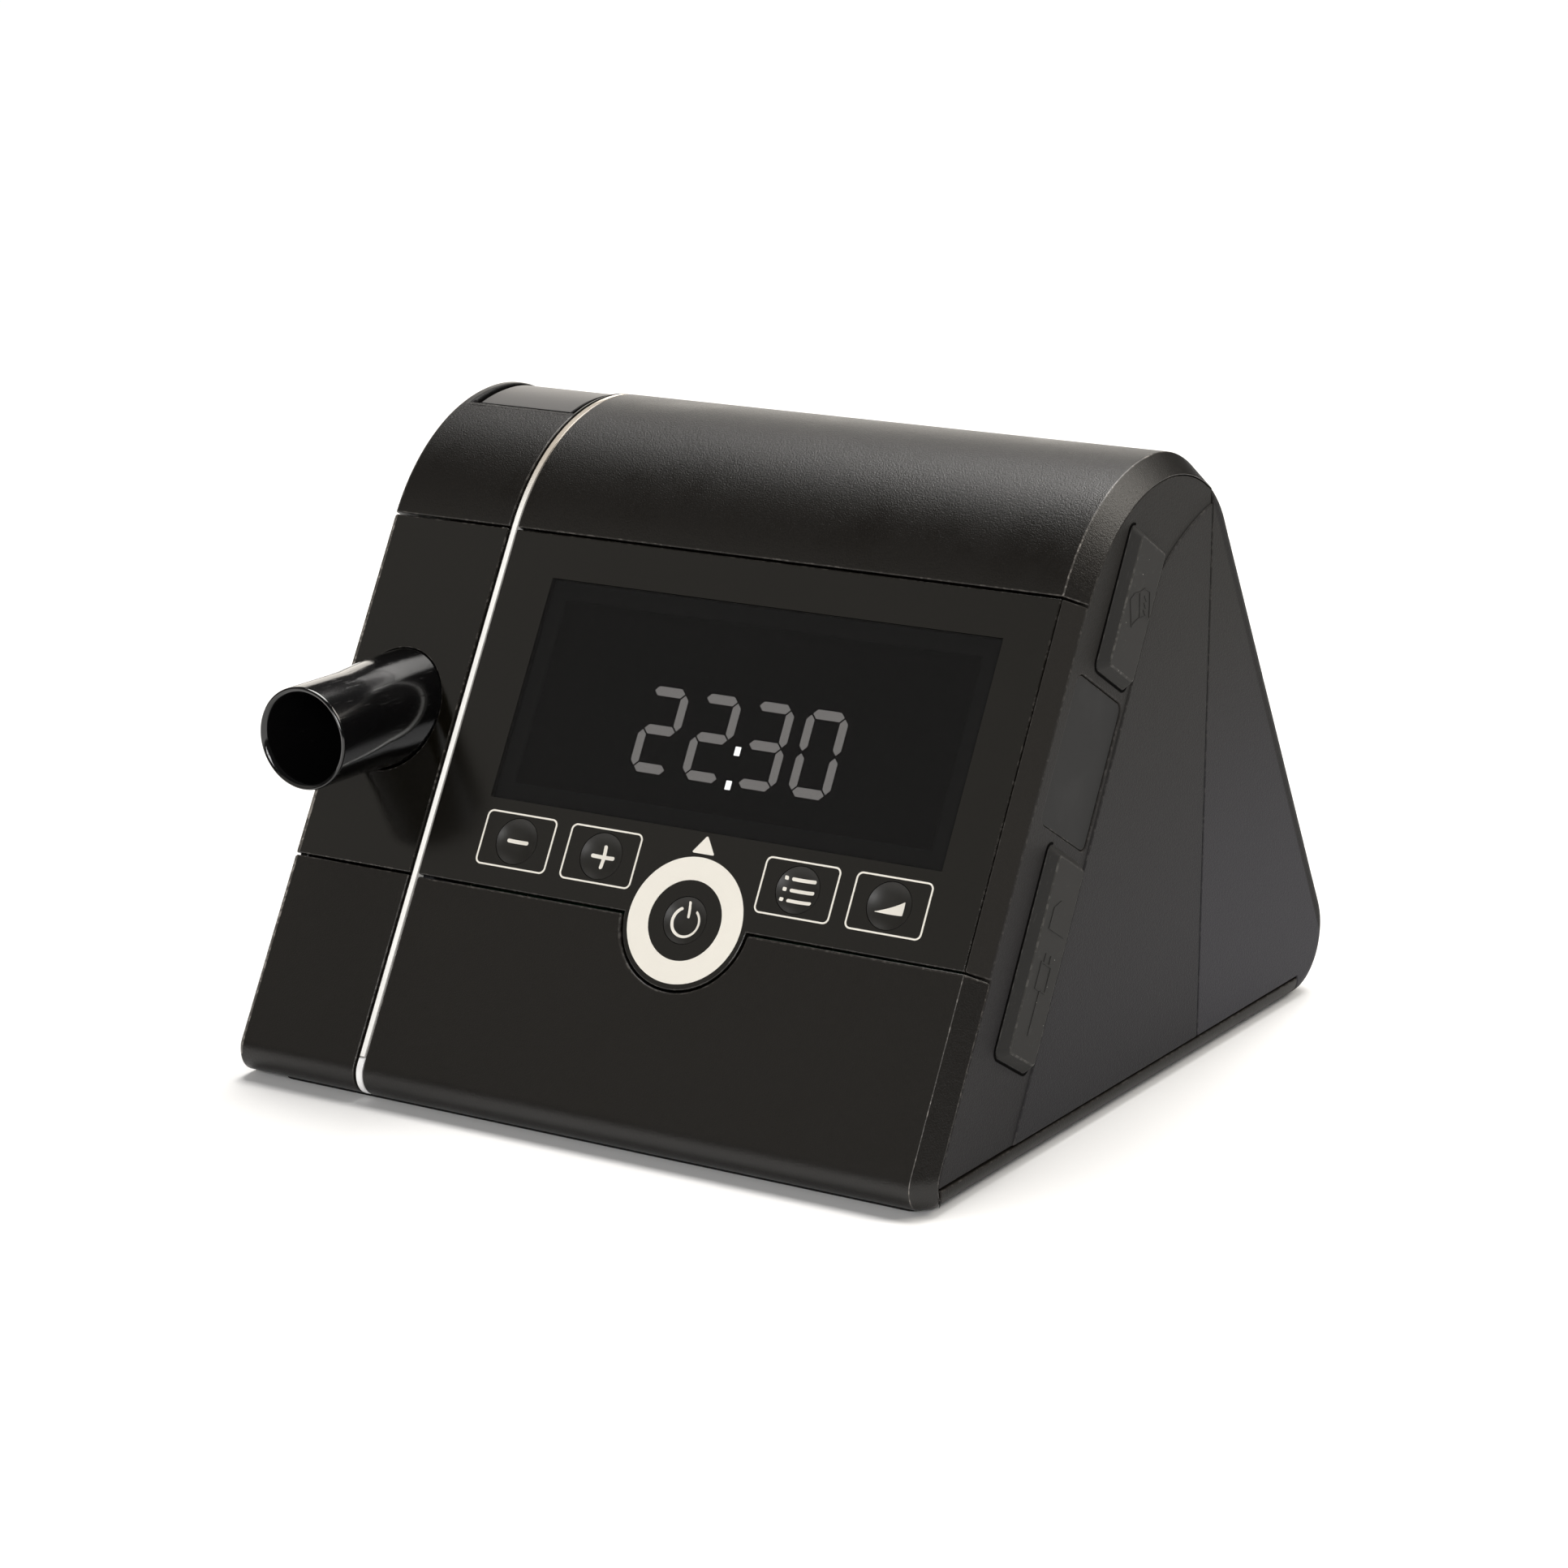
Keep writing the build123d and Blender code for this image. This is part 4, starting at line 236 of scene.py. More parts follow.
class Finish:
    """A procedural material in the making."""

    def __init__(self, name, **sockets):
        self.material = bpy.data.materials.new(name)
        self.material.use_nodes = True
        self.tree = self.material.node_tree
        self.shader = self.tree.nodes["Principled BSDF"]
        self.place = self.node("ShaderNodeTexCoord", output="Object")
        self.feed(**sockets)

    def node(self, kind, settings=None, values=None, output=0):
        """Adds a node: its settings are set first, then the values or links of its sockets."""
        node = self.tree.nodes.new(kind)
        for key, value in (settings or {}).items():
            setattr(node, key, value)
        for key, value in (values or {}).items():
            if isinstance(value, Wire):
                self.tree.links.new(value.socket, node.inputs[key])
            else:
                node.inputs[key].default_value = value
        return Wire(self.tree, node.outputs[output])

    def feed(self, **sockets):
        """Sets sockets of the shader, named with _ for a space, to a value or a link."""
        for name, value in sockets.items():
            socket = self.shader.inputs[name.replace("_", " ")]
            if isinstance(value, Wire):
                self.tree.links.new(value.socket, socket)
            elif hasattr(value, "__len__") and len(value) == 3:
                socket.default_value = (*value, 1)
            else:
                socket.default_value = value

    def noise(self, size, detail=2.0, place=None):
        """Cloudy pattern from 0 to 1, its spots about size millimetres."""
        return self.node(
            "ShaderNodeTexNoise", None,
            {"Vector": place or self.place, "Scale": 1 / (size * MM), "Detail": detail})

    def cells(self, size, feature="F1", output="Distance"):
        """Pattern of cells about size millimetres across."""
        return self.node(
            "ShaderNodeTexVoronoi", {"feature": feature},
            {"Vector": self.place, "Scale": 1 / (size * MM)}, output)

    def rise(self, value, start, end):
        """Smooth step from 0 at start to 1 at end."""
        return self.node(
            "ShaderNodeMapRange", {"interpolation_type": "SMOOTHSTEP"},
            {"Value": value, "From Min": start, "From Max": end})

    def mix(self, low, high, factor):
        """Colour between low and high, in a node whose colour sockets are numbers 6 and 7."""
        low, high = (c if isinstance(c, Wire) else (*c, 1) for c in (low, high))
        return self.node("ShaderNodeMix", {"data_type": "RGBA"}, {0: factor, 6: low, 7: high}, 2)

    def specks(self, spacing, size, share):
        """Sparse round specks: a mask of small spots in some of the cells of a pattern."""
        near = self.cells(spacing) < size / spacing
        chosen = self.node(
            "ShaderNodeSeparateColor", None,
            {"Color": self.cells(spacing, output="Color")}) < share
        return near * chosen

    def stretched(self, scale):
        """The place on the piece, stretched for a pattern with a direction."""
        return self.node("ShaderNodeMapping", None, {"Vector": self.place, "Scale": scale})

    def along(self, axis):
        """Place along the X, Y or Z axis, in metres."""
        return self.node("ShaderNodeSeparateXYZ", None, {"Vector": self.place}, axis)

    def edges(self):
        """How much a face counts as a softened edge, below zero where it is sunken; the finishes paint wear,
        painted highlights and painted shade from it.
        """
        return self.node(
            "ShaderNodeAttribute", {"attribute_name": "edge_wear"}, output="Fac")

    def rubbed(self, least, start, end, size=1.1):
        """Blotchy pale rubbing on the softened edges: wear, and a painted highlight where an edge is marked
        strongly.
        """
        return self.edges() * (least + self.rise(self.noise(size, 5), start, end))

    def bump(self, height, depth):
        """Relief of depth millimetres."""
        values = {"Height": height, "Strength": 1.0, "Distance": depth * MM}
        self.feed(Normal=self.node("ShaderNodeBump", None, values))


def shade(colour, *levels):
    """A colour times one level, or times a level for each of its three parts."""
    return tuple(min(1.0, part * level) for part, level in zip(colour, levels * 3))


def moulded(name, colour, grain, depth, rough, ior, wear=0.0, dust=0.0):
    """Moulded plastic: eroded grain, faint cloudiness, handling marks, pale worn edges with painted
    highlights on the marked creases, and painted shade on sunken edges.
    """
    finish = Finish(name, IOR=ior)
    fine = finish.noise(grain, 3)
    coarse = finish.noise(grain * 2.7, 2)
    cloud = finish.noise(38, 2)
    handling = finish.rise(finish.noise(14, 4), 0.50, 0.72)
    tone = fine * 0.34 + cloud * 0.22
    body = finish.mix(shade(colour, 0.78), shade(colour, 1.26), tone + 0.22)
    if dust:
        body = finish.mix(body, DUST, finish.specks(7.5, 0.16, dust))
    # with wear: pale rubbing on the edges, which is wear and, on the strongly marked creases, a painted
    # highlight; then painted shade on the sunken edges
    if wear:
        body = finish.mix(body, (0.24, 0.22, 0.20), finish.rubbed(0.25, 0.56 - wear * 0.2, 0.66) * 0.6)
        # painted shade: sunken edges turn near black and metallic, so that they lose their reflection
        sunk_shade = finish.rise(finish.edges(), -0.05, -0.9)
        body = finish.mix(body, (0.0006, 0.0005, 0.0005), sunk_shade)
        finish.feed(Metallic=sunk_shade)
    finish.feed(Base_Color=body, Roughness=rough + fine * 0.12 - handling * 0.05)
    finish.bump(fine + coarse * 0.25, depth)
    return finish.material


def side_plastic(name, colour, grain, wear):
    """Grained plastic of the right side: warm on the chamfer; painted reflection of the floor, darker and
    warmer high up and cooler and paler low down behind; painted shade along the rear edges.
    """
    finish = Finish(name, IOR=1.20)
    fine = finish.noise(grain, 3)
    coarse = finish.noise(grain * 3, 2)
    x, y, z = (finish.along(axis) for axis in "XYZ")
    # painted reflection of the floor: the side is darker and warmer high up, and paler and cooler low down on
    # the rear wedge
    low = finish.rise(z, 0.112, 0.020)
    wedge = finish.rise(y, REAR_SEAM, 0.0260) * finish.rise(z, 0.105, 0.010)
    body = finish.mix(shade(colour, 0.80, 0.78, 0.62), colour, low)
    body = finish.mix(body, shade(colour, 1.62, 1.64, 1.76), wedge)
    behind = finish.rise(y, REAR_SEAM, 0.0262)
    band = finish.mix((0.0125, 0.0112, 0.0092), (0.030, 0.028, 0.025), behind)
    # painted shade on the rear cover's chamfer, nearest the right face
    band = finish.mix(band, PAINTED_RIM_SHADE, behind * finish.rise(x, 0.0790, 0.0808))
    body = finish.mix(band, body, finish.rise(x, 0.0831, 0.08395))
    # painted shade along the rounded edge of the rear slope
    rim = finish.rise(y * REAR_OUT[0] + z * REAR_OUT[1], 0.0829, 0.0836)
    body = finish.mix(body, PAINTED_RIM_SHADE, rim * behind)
    grit = finish.mix(shade(colour, 0.1), shade(colour, 0.75), fine * 0.7 + finish.noise(38, 2) * 0.3)
    body = finish.node(
        "ShaderNodeMix", {"data_type": "RGBA", "blend_type": "ADD"}, {0: 0.5, 6: body, 7: grit}, 2)
    body = finish.mix(body, (0.16, 0.15, 0.14), finish.rubbed(0.2, 0.56 - wear * 0.2, 0.66) * 0.5)
    body = finish.mix(body, DUST, finish.specks(7.5, 0.16, 0.04))
    finish.feed(Base_Color=body, Roughness=0.5 + fine * 0.14)
    finish.bump(fine + coarse * 0.25, 0.10)
    return finish.material


def rubbery(name, colour, rough, dust):
    """Soft rubber: dull, dusty, with hairline scuffs."""
    finish = Finish(name, IOR=1.24)
    fine = finish.noise(0.25, 2)
    scuffs = finish.rise(finish.noise(1.1, 5, finish.stretched((3.0, 0.25, 0.6))), 0.60, 0.70)
    body = finish.mix(shade(colour, 0.85), shade(colour, 1.2), fine * 0.5 + finish.noise(9, 2) * 0.4)
    body = finish.mix(body, shade(colour, 2.2), scuffs * 0.22)
    body = finish.mix(body, (0.30, 0.29, 0.27), finish.specks(2.6, 0.10, dust))
    body = finish.mix(body, (0.13, 0.125, 0.115), finish.rubbed(0.3, 0.46, 0.62, 1.3) * 0.4)
    finish.feed(Base_Color=body, Roughness=rough + fine * 0.12)
    finish.bump(fine + scuffs * 0.4, 0.02)
    return finish.material


def metallic(name, colour, rough, brush=(1.0, 1.0, 12.0)):
    """Metal with a fine directional brushing and slight staining."""
    finish = Finish(name)
    lines = finish.noise(0.8, 4, finish.stretched(brush))
    cloud = finish.noise(6, 3)
    finish.feed(
        Base_Color=finish.mix(shade(colour, 0.7), colour, cloud * 0.6 + lines * 0.4),
        Metallic=1.0, Roughness=rough - 0.08 + lines * 0.16 + cloud * 0.06)
    finish.bump(lines, 0.006)
    return finish.material


def foamy(name, colour, cell):
    """Open-cell foam: round pores with painted shade in their bottoms."""
    finish = Finish(name, Specular_IOR_Level=0.15)
    pore = finish.cells(cell)
    small = finish.cells(cell * 0.45)
    wall = finish.rise(pore * 0.7 + small * 0.3, 0.12, 0.5)
    # painted shade: the pores' bottoms are darker than their walls
    finish.feed(
        Base_Color=finish.mix(shade(colour, 0.35), shade(colour, 1.15), wall * 0.8 + finish.noise(5) * 0.3),
        Roughness=0.92 - wall * 0.08)
    finish.bump(wall, 0.3)
    return finish.material


def fibrous(name, colour):
    """Fleece of crossed fibres."""
    finish = Finish(name, Specular_IOR_Level=0.2)
    one = finish.noise(1.6, 5, finish.stretched((9.0, 1.0, 1.0)))
    two = finish.noise(1.9, 5, finish.stretched((1.0, 6.0, 7.0)))
    thread = one * 0.5 + two * 0.5
    fibre = finish.rise(thread, 0.38, 0.62)
    finish.feed(Base_Color=finish.mix(shade(colour, 0.7), colour, fibre), Roughness=0.95 - fibre * 0.1)
    finish.bump(fibre, 0.12)
    return finish.material


def glossy_stub(name):
    """Polished black plastic with hair scratches and a little dust."""
    finish = Finish(name, IOR=1.5, Coat_Weight=0.2, Coat_Roughness=0.04)
    hair = finish.rise(finish.noise(0.9, 5, finish.stretched((2.0, 0.15, 2.0))), 0.62, 0.70)
    cloud = finish.noise(11, 3)
    body = finish.mix((0.0015, 0.0015, 0.0016), (0.0030, 0.0029, 0.0031), cloud)
    body = finish.mix(body, (0.10, 0.10, 0.10), finish.specks(4.5, 0.11, 0.35) * 0.8)
    finish.feed(Base_Color=body, Roughness=0.10 + hair * 0.14 + cloud * 0.05)
    finish.bump(cloud + hair * 0.2, 0.03)
    return finish.material


def tinted_window(name, tint):
    """Dark clear plastic: what is behind it shows dimly."""
    finish = Finish(name, IOR=1.49, Specular_IOR_Level=0.16)
    cloud = finish.noise(22, 3)
    dust = finish.specks(6.0, 0.10, 0.3)
    body = finish.mix((0.0072, 0.0072, 0.0073), (0.0080, 0.0079, 0.0079), cloud)
    body = finish.mix(body, (0.2, 0.2, 0.2), dust * 0.5)
    finish.feed(Base_Color=body, Roughness=0.20 + cloud * 0.08 + dust * 0.3, Alpha=tint)
    finish.bump(finish.noise(9, 1), 0.01)
    return finish.material


def printed(name, colour):
    """Screen-printed ink: slightly uneven, matt, a touch of the ground showing through."""
    finish = Finish(name, IOR=1.45, Specular_IOR_Level=0.25)
    mesh = finish.noise(0.18, 2)
    cloud = finish.noise(5, 3)
    thin = finish.specks(1.4, 0.07, 0.10)
    body = finish.mix(shade(colour, 0.93), shade(colour, 1.03), mesh * 0.5 + cloud * 0.5)
    finish.feed(Base_Color=finish.mix(body, shade(colour, 0.5), thin * 0.5), Roughness=0.52 + mesh * 0.16)
    finish.bump(mesh, 0.008)
    return finish.material


def display_bars(name, colour, glow=0.0):
    """A liquid-crystal bar with the faint dot structure of its rear mask."""
    finish = Finish(name, Specular_IOR_Level=0.1)
    dots = finish.cells(0.12)
    tone = finish.mix(shade(colour, 0.9), shade(colour, 1.05), dots + finish.noise(3, 2) * 0.4)
    finish.feed(Base_Color=tone, Roughness=0.6 + dots * 0.1)
    if glow:
        finish.feed(Emission_Color=tone, Emission_Strength=glow)
    return finish.material


def display_ground(name):
    """The display's black rear, finely mottled."""
    finish = Finish(name, Specular_IOR_Level=0.12)
    mottle = finish.noise(0.3, 1)
    cloud = finish.noise(26)
    body = finish.mix((0.0112, 0.0112, 0.0112), (0.0128, 0.0128, 0.0129), mottle * 0.5 + cloud * 0.5)
    finish.feed(Base_Color=body, Roughness=0.62 + mottle * 0.1)
    finish.bump(mottle, 0.003)
    return finish.material


def strip_white(name, colour, dirt):
    """The bright inlaid strip: satin, with a few nicks, a painted darker reflection where it turns over the
    top, and painted shade on its softened edges.
    """
    finish = Finish(name, IOR=1.5, Coat_Weight=0.3, Coat_Roughness=0.12)
    cloud = finish.noise(7, 4)
    nicks = finish.specks(5.2, 0.22, 0.22)
    top = finish.rise(finish.along("Z"), 0.112, 0.128)
    body = finish.mix(shade(colour, dirt), colour, cloud * 1.4)
    # painted reflection: over the top the strip turns brownish and partly metallic
    body = finish.mix(body, (0.66, 0.59, 0.50), top)
    # painted shade on the strip's softened edges
    body = finish.mix(body, (0.08, 0.07, 0.06), finish.edges() * 0.75)
    body = finish.mix(body, (0.10, 0.12, 0.105), nicks * 0.7)
    finish.feed(Base_Color=body, Metallic=top * 0.35, Roughness=0.13 + cloud * 0.10 + nicks * 0.3)
    finish.bump(cloud, 0.02)
    return finish.material


def circuit_board(name):
    """Green solder mask over copper tracks and a sprinkle of pads."""
    finish = Finish(name, IOR=1.5, Coat_Weight=0.25, Coat_Roughness=0.15)
    step = finish.node(
        "ShaderNodeTexBrick", None,
        {"Vector": finish.place, "Color1": (0, 0, 0, 1), "Color2": (1, 1, 1, 1), "Mortar": (0.5, 0.5, 0.5, 1),
         "Scale": 180.0, "Mortar Size": 0.012, "Bias": 0.0})
    tracks = 1 - finish.rise(finish.cells(3.4, "DISTANCE_TO_EDGE"), 0.03, 0.05)
    pads = finish.specks(2.1, 0.26, 0.25)
    body = finish.mix((0.006, 0.055, 0.022), (0.010, 0.085, 0.035), step * 0.4 + tracks * 0.6)
    finish.feed(
        Base_Color=finish.mix(body, (0.70, 0.66, 0.55), pads), Metallic=pads * 0.9,
        Roughness=0.32 + finish.noise(2) * 0.12)
    finish.bump(tracks + pads * 0.5, 0.04)
    return finish.material


def chip_body(name):
    """Moulded chip epoxy, speckled and matt."""
    finish = Finish(name, Specular_IOR_Level=0.3)
    grit = finish.noise(0.12, 3)
    finish.feed(
        Base_Color=finish.mix((0.010, 0.010, 0.011), (0.028, 0.028, 0.030), grit),
        Roughness=0.62 + grit * 0.2)
    finish.bump(grit, 0.02)
    return finish.material


def wound_copper(name):
    """Enamelled copper wire, turn beside turn."""
    finish = Finish(name, Coat_Weight=0.5, Coat_Roughness=0.2)
    turns = finish.node(
        "ShaderNodeTexWave", {"bands_direction": "Z"},
        {"Vector": finish.place, "Scale": 620.0, "Distortion": 0.3}, "Fac")
    finish.feed(
        Base_Color=finish.mix((0.30, 0.085, 0.025), (0.72, 0.27, 0.09), turns), Metallic=1.0,
        Roughness=0.26 + turns * 0.1)
    finish.bump(turns, 0.12)
    return finish.material


def flat_ribbon(name):
    """Pale flat cable with a fine line for each conductor."""
    finish = Finish(name, Specular_IOR_Level=0.4)
    lines = finish.node(
        "ShaderNodeTexWave", {"bands_direction": "DIAGONAL"},
        {"Vector": finish.place, "Scale": 500.0, "Distortion": 0.0}, "Fac")
    finish.feed(
        Base_Color=finish.mix((0.45, 0.45, 0.46), (0.78, 0.78, 0.76), lines), Roughness=0.4 + lines * 0.1)
    finish.bump(lines, 0.03)
    return finish.material


FINISHES = {}


def make_finishes(case, display):
    """All finishes, each under the name of its material slot or of the piece's own finish."""
    grain, wear = case.grain_size, case.wear
    for name, recipe, *values in (
            ("case_black", moulded, case.case_colour, grain * 0.75, 0.075, 0.30, 1.46, wear, 0.05),
            ("module_black", moulded, case.panel_colour, grain * 0.6, 0.012, -0.02, 1.46, wear, 0.05),
            # near-black and dull: the painted shadow lines round the flaps
            ("lip_black", moulded, (0.0012, 0.0011, 0.0010), grain, 0.02, 0.8, 1.10),
            ("rim_black", moulded, (0.0085, 0.0072, 0.0060), grain, 0.04, 0.36, 1.20, wear),
            ("release_satin", moulded, (0.050, 0.047, 0.045), grain * 0.5, 0.010, 0.34, 1.70, wear),
            ("panel_black", moulded, case.panel_colour, grain * 0.6, 0.010, 0.13, 1.46, wear, 0.03),
            ("side_grey", side_plastic, case.side_colour, grain * 0.9, wear),
            ("bay_grey", moulded, (0.016, 0.016, 0.016), grain * 0.5, 0.008, 0.50, 1.18, 0.2),
            ("key_satin", moulded, (0.015, 0.0140, 0.0122), grain * 0.5, 0.008, 0.34, 1.40),
            ("inner_plastic", moulded, (0.045, 0.046, 0.05), grain, 0.03, 0.48, 1.45, 0.2),
            ("impeller_white", moulded, (0.62, 0.62, 0.60), 0.3, 0.01, 0.38, 1.48),
            ("gloss_black", glossy_stub),
            ("window_black", tinted_window, display.tint),
            ("lcd_black", display_ground),
            ("digit_grey", display_bars, display.digit_colour, display.digit_glow),
            ("colon_white", display_bars, (1.0, 1.0, 0.98), display.colon_glow),
            # the unlit marks glow faintly: a painted glow
            ("unlit_grey", display_bars, (0.036, 0.036, 0.037), 1.2),
            ("ink_black", display_bars, (0.018, 0.018, 0.018)),
            ("print_white", printed, case.print_colour),
            ("pad_rubber", rubbery, (0.012, 0.012, 0.012), 0.80, 0.3),
            ("flap_rubber", rubbery, (0.0205, 0.0198, 0.0188), 0.60, 0.35),
            ("seal_rubber", rubbery, (0.020, 0.020, 0.022), 0.7, 0.2),
            ("strip_chrome", strip_white, (1.0, 0.99, 0.955), 0.86),
            ("strip_end_grey", strip_white, (1.0, 0.99, 0.99), 0.8),
            ("foam_grey", foamy, (0.085, 0.087, 0.092), 0.9),
            ("filter_white", fibrous, (0.82, 0.83, 0.84)),
            ("board_green", circuit_board),
            ("chip_black", chip_body),
            ("socket_steel", metallic, (0.62, 0.61, 0.58), 0.32),
            ("ribbon_white", flat_ribbon),
            ("spring_steel", metallic, (0.56, 0.56, 0.57), 0.25),
            ("rotor_steel", metallic, (0.50, 0.50, 0.51), 0.34, (1, 1, 9)),
            ("winding_copper", wound_copper),
            ("motor_aluminium", metallic, (0.70, 0.71, 0.73), 0.36, (0.6, 0.6, 8))):
        FINISHES[name] = recipe(name, *values)


# ---- mesh helpers
def place(origin, x, y, z):
    """Matrix that lays a drawing in millimetres at a spot, with its own three directions."""
    turn = Matrix((x, y, z)).transposed().to_4x4()
    return Matrix.Translation(origin * MM) @ turn @ Matrix.Scale(MM, 4)


def on_front(across, up, out=0.0):
    """Place on the sloped front: local X across, Y up the slope, Z out of it."""
    spot = FRONT_FOOT + ACROSS * across + UP_FRONT * up + OUT_FRONT * out
    return place(spot, ACROSS, UP_FRONT, OUT_FRONT)


def on_side(up, back, out=0.0):
    """Place on the right side: local X up the front slope, Y towards the front, Z to the right."""
    spot = FRONT_FOOT + UP_FRONT * up - OUT_FRONT * back + ACROSS * (RIGHT_FACE + out)
    return place(spot, UP_FRONT, OUT_FRONT, ACROSS)


def piece(name, bm, slot, body, replaces=(), crease=35.0, finish=None, even=False):
    """Makes a bmesh in the shared frame a piece that rides on a body, in its slot's finish or its own."""
    mesh = bpy.data.meshes.new(name)
    bm.to_mesh(mesh)
    bm.free()
    mesh.materials.append(FINISHES[finish or slot])
    mesh.polygons.foreach_set("use_smooth", [True] * len(mesh.polygons))
    mesh.set_sharp_from_angle(angle=radians(crease))
    made = bpy.data.objects.new(name, mesh)
    bpy.context.scene.collection.objects.link(made)
    if even:
        shading = made.modifiers.new("even_shading", "WEIGHTED_NORMAL")
        shading.keep_sharp = True
    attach(made, body)
    if replaces:
        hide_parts(*replaces)
    return made


def body_of(node):
    """Name of the body that a CAD node rides on."""
    return frame["nodes"][node]["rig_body"]


def slot_of(node):
    """Name of a CAD node's material slot."""
    return next(s["material_slot"] for s in frame["record"]["subparts"] if s["node"] == node)


def bevel(bm, geom, width, segments=4, affect="EDGES", **more):
    """Rounds edges or the corners of flat faces."""
    return bmesh.ops.bevel(
        bm, geom=geom, offset=width, offset_type="OFFSET", affect=affect, segments=segments,
        profile=0.5, material=-1, **more)


def soften(bm, width, angle, segments, rub, only=None):
    """Rounds the outward edges sharper than an angle and marks the new faces with a value for wear and
    painted light.

    A value below zero marks a sunken edge that the finishes paint dark, as painted shade.
    Edges beside a face that an earlier call has made stay as they are.
    """
    mark = bm.faces.layers.float.get("edge_wear") or bm.faces.layers.float.new("edge_wear")
    sharp = [
        edge for edge in bm.edges
        if edge.is_manifold and edge.is_convex and edge.calc_face_angle() > radians(angle)
        and not any(face[mark] for face in edge.link_faces) and (only is None or only(edge))]
    made = bevel(bm, sharp, width * MM, segments, clamp_overlap=False, miter_outer="ARC")
    for face in made["faces"]:
        face[mark] = rub


def copy_of(node):
    """A merged copy of a CAD node with its flat faces joined."""
    bm = bmesh.new()
    bm.from_mesh(frame["nodes"][node].data)
    bmesh.ops.remove_doubles(bm, verts=bm.verts[:], dist=0.02 * MM)
    bmesh.ops.dissolve_limit(
        bm, angle_limit=radians(0.35), use_dissolve_boundaries=False, verts=bm.verts[:], edges=bm.edges[:])
    return bm


def dress(node, width, angle=28.0, segments=2, rub=0.3, only=None, first=None, finish=None):
    """A finished piece from a CAD node, with softened edges.

    The edges that pass the test in first, a tuple of a test, a width and a value for wear and painted light,
    are done first.
    """
    bm = copy_of(node)
    if first:
        soften(bm, first[1], angle, 4, first[2], first[0])
    soften(bm, width, angle, segments, rub, only)
    return piece(
        node + "_dressed", bm, slot_of(node), body_of(node), [node], finish=finish, even=True)


def on_crease(edge):
    """Whether an edge lies on the crease between the front faces and the right chamfer."""
    return all(abs(vert.co.x / MM - CREASE) < 0.3 for vert in edge.verts)


def extent(node, spot):
    """Lowest and highest corner of a CAD node, in the millimetres of a place."""
    flat = spot.inverted()
    corners = [flat @ vert.co for vert in frame["nodes"][node].data.vertices]
    return [Vector([pick(corner[i] for corner in corners) for i in range(3)]) for pick in (min, max)]


def lathe(outline, steps=64):
    """Turns an outline of (radius, height) in millimetres about the local Z axis."""
    bm = bmesh.new()
    verts = [bm.verts.new((radius, 0, height)) for radius, height in outline]
    edges = [bm.edges.new(pair) for pair in zip(verts, verts[1:])]
    bmesh.ops.spin(
        bm, geom=verts + edges, cent=(0, 0, 0), axis=(0, 0, 1), angle=2 * pi, steps=steps, use_merge=True,
        use_duplicate=False)
    bmesh.ops.remove_doubles(bm, verts=bm.verts[:], dist=1e-4)
    bmesh.ops.recalc_face_normals(bm, faces=bm.faces[:])
    return bm


def arc(mid, radius, start, end, steps):
    """Points of a circular arc, angles in degrees."""
    return [
        (mid[0] + radius * cos(radians(start + (end - start) * i / steps)),
         mid[1] + radius * sin(radians(start + (end - start) * i / steps)))
        for i in range(steps + 1)]


def plate(bm, points):
    """One flat face through points of a drawing."""
    return bm.faces.new([bm.verts.new((x, y, 0)) for x, y in points])


def bar(bm, across, up, long, high, radius):
    """A flat bar with rounded corners."""
    verts = bmesh.ops.create_grid(bm, x_segments=1, y_segments=1, size=0.5)["verts"]
    bmesh.ops.scale(bm, vec=(long, high, 1), verts=verts)
    bmesh.ops.translate(bm, vec=(across, up, 0), verts=verts)
    bevel(bm, verts, radius, 4, "VERTICES")


def ribbon(bm, points, width, close=False):
    """A flat line of even width through points of a drawing, with mitred corners."""
    path = [Vector(p) for p in points]
    count = len(path)
    rails = []
    for i, spot in enumerate(path):
        before = path[(i - 1) % count] if close or i else spot * 2 - path[1]
        after = path[(i + 1) % count] if close or i < count - 1 else spot * 2 - path[-2]
        one, two = (spot - before).normalized(), (after - spot).normalized()
        way = (one + two).normalized()
        side = Vector((-way.y, way.x)) * width / 2 / max(0.5, way.dot(one))
        rails.append([bm.verts.new((*(spot + side), 0)), bm.verts.new((*(spot - side), 0))])
    pairs = list(zip(rails, rails[1:])) + ([(rails[-1], rails[0])] if close else [])
    for a, b in pairs:
        bm.faces.new((a[0], a[1], b[1], b[0]))


def raise_flat(bm, height):
    """Gives flat faces a thickness upwards, and turns all faces outwards."""
    made = bmesh.ops.extrude_face_region(bm, geom=bm.faces[:])
    top = [v for v in made["geom"] if isinstance(v, bmesh.types.BMVert)]
    bmesh.ops.translate(bm, vec=(0, 0, height), verts=top)
    bmesh.ops.recalc_face_normals(bm, faces=bm.faces[:])


def cut_up(bm, step, reach):
    """Divides flat faces by evenly spaced cuts, so that they can follow a hollow."""
    count = int(reach / step)
    for way in (Vector((1, 0, 0)), Vector((0, 1, 0))):
        for i in range(-count, count + 1):
            bmesh.ops.bisect_plane(
                bm, geom=bm.verts[:] + bm.edges[:] + bm.faces[:], dist=1e-4, plane_co=way * (i * step),
                plane_no=way)


def loose_parts(bm):
    """Groups of corners that are joined by edges."""
    left = set(bm.verts)
    for start in bm.verts:
        if start not in left:
            continue
        left.remove(start)
        group, ends = [], [start]
        while ends:
            vert = ends.pop()
            group.append(vert)
            for edge in vert.link_edges:
                other = edge.other_vert(vert)
                if other in left:
                    left.remove(other)
                    ends.append(other)
        yield group


def dish(radius):
    """Depth of a key's hollow at a distance from its middle."""
    return min(0.0, DISH_R - DISH_D - sqrt(max(0.0, DISH_R ** 2 - radius ** 2)))


